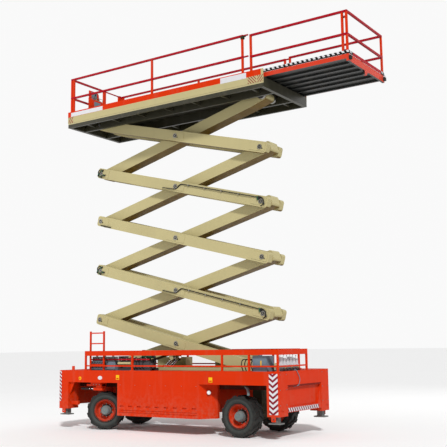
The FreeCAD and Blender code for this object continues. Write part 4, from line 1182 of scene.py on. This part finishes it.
class LiftColours(bpy.types.PropertyGroup):
    """The machine's colours."""

    orange: colour_setting("Orange", "Chassis and fascia paint", (0.62, 0.029, 0.0005))
    crimson: colour_setting("Crimson", "Guard rail paint", (0.38, 0.004, 0.014))
    cream: colour_setting("Cream", "Scissor arm paint", (0.48, 0.42, 0.215))
    # The underside colour is painted shade: it darkens the arms' faces that look down, where their shadow falls.
    underside: colour_setting("Underside", "Dirt on the arms' undersides", (0.16, 0.095, 0.015))
    dark: colour_setting("Dark", "Platform underside and axles", (0.030, 0.028, 0.014))
    # The under deck colour is painted shade for the shadow under the extension.
    under_deck_shade: colour_setting("Under deck", "Extension underside", (0.010, 0.011, 0.010))
    floor: colour_setting("Floor", "Platform floor", (0.20, 0.21, 0.21))
    white: colour_setting("White", "Plates and stripes", (0.66, 0.66, 0.68))
    stripe_red: colour_setting("Stripe red", "Dark stripes", (0.22, 0.008, 0.022))
    yellow: colour_setting("Yellow", "Blank stickers", (0.85, 0.50, 0.01))
    hub: colour_setting("Hub", "Wheel hubs", (0.150, 0.195, 0.200))
    rubber: colour_setting("Rubber", "Tyre treads and pads", (0.013, 0.014, 0.013))
    tyre_wall: colour_setting("Tyre wall", "Paler ring on the tyres", (0.034, 0.041, 0.038))
    # The shade colour is painted shadow: it stands in for the shadow under the right end's top lip.
    shade: colour_setting("Shade", "Folds in the orange panels", (0.20, 0.010, 0.004))
    grey: colour_setting("Grey", "Machinery", (0.16, 0.17, 0.17))
    blue_grey: colour_setting("Blue grey", "Tanks and panels", (0.16, 0.21, 0.25))
    engine_green: colour_setting("Engine green", "Engine end and couplings", (0.035, 0.13, 0.065))
    engine_grey: colour_setting("Engine grey", "Engine block", (0.085, 0.080, 0.085))


class LiftDetails(bpy.types.PropertyGroup):
    """Counts and sizes of the small parts."""

    wheel_nuts: IntProperty(name="Wheel nuts", description="Nuts on each rim", default=10, min=4, max=20)
    stripe_period: FloatProperty(name="Stripe period", description="From one warning stripe to the next",
                                 default=0.12, min=0.02, unit="LENGTH")
    arrow_period: FloatProperty(name="Arrow period", description="From one arrowhead to the next",
                                default=0.125, min=0.02, unit="LENGTH")


class LiftStage(bpy.types.PropertyGroup):
    """The lights and the floor round the machine."""

    key_strength: FloatProperty(name="Key", description="Strength of the main light", default=2.5, min=0)
    fill_power: FloatProperty(name="Fill", description="Power of the light on the left", default=500.0, min=0,
                              unit="POWER")
    back_power: FloatProperty(name="Back", description="Power of the light behind", default=500.0, min=0,
                              unit="POWER")
    sky_strength: FloatProperty(name="Sky", description="Brightness of the surroundings", default=0.42, min=0)
    backdrop_strength: FloatProperty(name="Backdrop", description="Brightness of the background",
                                     default=0.95, min=0)
    floor_tone: FloatProperty(name="Floor tone", description="How pale the floor is", default=0.99, min=0,
                              max=1)


class LIFT_OT_paint(bpy.types.Operator):
    """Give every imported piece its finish"""

    bl_idname = "lift.paint"
    bl_label = "Paint packed pieces"

    def execute(self, context):
        paint_packed_pieces()
        return {"FINISHED"}


class LIFT_OT_wheels(bpy.types.Operator):
    """Add nuts, hub bolts and tyre ribs"""

    bl_idname = "lift.wheels"
    bl_label = "Wheels"

    def execute(self, context):
        for end, place in WHEELS:
            wheel_trim(end, place)
        return {"FINISHED"}


class LIFT_OT_steering(bpy.types.Operator):
    """Add kingpin caps, bolts, brackets and brake hoses"""

    bl_idname = "lift.steering"
    bl_label = "Steering"

    def execute(self, context):
        steering_details()
        wheel_brackets()
        return {"FINISHED"}


class LIFT_OT_scissor(bpy.types.Operator):
    """Add pin ends, welds, couplings and cylinder ports"""

    bl_idname = "lift.scissor"
    bl_label = "Scissor stack"

    def execute(self, context):
        scissor_hardware()
        arm_welds()
        hose_joints()
        cylinder_details()
        return {"FINISHED"}


class LIFT_OT_chassis(bpy.types.Operator):
    """Add markers, stripes, bolts and the end hose"""

    bl_idname = "lift.chassis"
    bl_label = "Chassis"

    def execute(self, context):
        side_marks()
        end_marks()
        chassis_bolts()
        end_hose()
        ladder_grips()
        return {"FINISHED"}


class LIFT_OT_machinery(bpy.types.Operator):
    """Add pipes, caps, levers and fittings to the deck units"""

    bl_idname = "lift.machinery"
    bl_label = "Machinery"

    def execute(self, context):
        engine_details()
        unit_details()
        valve_details()
        return {"FINISHED"}


class LIFT_OT_platform(bpy.types.Operator):
    """Add plates, rail fittings, desk controls and underside parts"""

    bl_idname = "lift.platform"
    bl_label = "Platform"

    def execute(self, context):
        platform_plates()
        rail_fittings()
        desk_details()
        underside_details()
        return {"FINISHED"}


class LIFT_OT_extension(bpy.types.Operator):
    """Add links, pad bolts and the end piece"""

    bl_idname = "lift.extension"
    bl_label = "Extension"

    def execute(self, context):
        extension_details()
        return {"FINISHED"}


class LIFT_OT_stage(bpy.types.Operator):
    """Add the floor, the lights and the camera"""

    bl_idname = "lift.stage"
    bl_label = "Stage"

    def execute(self, context):
        build_stage()
        return {"FINISHED"}


OPERATORS = (LIFT_OT_paint, LIFT_OT_wheels, LIFT_OT_steering, LIFT_OT_scissor, LIFT_OT_chassis,
             LIFT_OT_machinery, LIFT_OT_platform, LIFT_OT_extension, LIFT_OT_stage)


class LIFT_PT_panel(bpy.types.Panel):
    """The lift's settings and steps."""

    bl_idname = "LIFT_PT_panel"
    bl_label = "Scissor lift"
    bl_space_type = "VIEW_3D"
    bl_region_type = "UI"
    bl_category = "Lift"

    def draw(self, context):
        for group in (context.scene.lift_colours, context.scene.lift_details, context.scene.lift_stage):
            for name in group.bl_rna.properties.keys():
                if name not in ("rna_type", "name"):
                    self.layout.prop(group, name)
        for made in OPERATORS:
            self.layout.operator(made.bl_idname)


CLASSES = (LiftColours, LiftDetails, LiftStage, *OPERATORS, LIFT_PT_panel)


def register():
    for made in CLASSES:
        bpy.utils.register_class(made)
    bpy.types.Scene.lift_colours = PointerProperty(type=LiftColours)
    bpy.types.Scene.lift_details = PointerProperty(type=LiftDetails)
    bpy.types.Scene.lift_stage = PointerProperty(type=LiftStage)


def unregister():
    for name in ("lift_colours", "lift_details", "lift_stage"):
        delattr(bpy.types.Scene, name)
    for made in reversed(CLASSES):
        bpy.utils.unregister_class(made)


def main():
    register()
    bpy.ops.lift.paint()
    bpy.ops.lift.wheels()
    bpy.ops.lift.steering()
    bpy.ops.lift.scissor()
    bpy.ops.lift.chassis()
    bpy.ops.lift.machinery()
    bpy.ops.lift.platform()
    bpy.ops.lift.extension()
    bpy.ops.lift.stage()


if __name__ == "__main__":
    main()
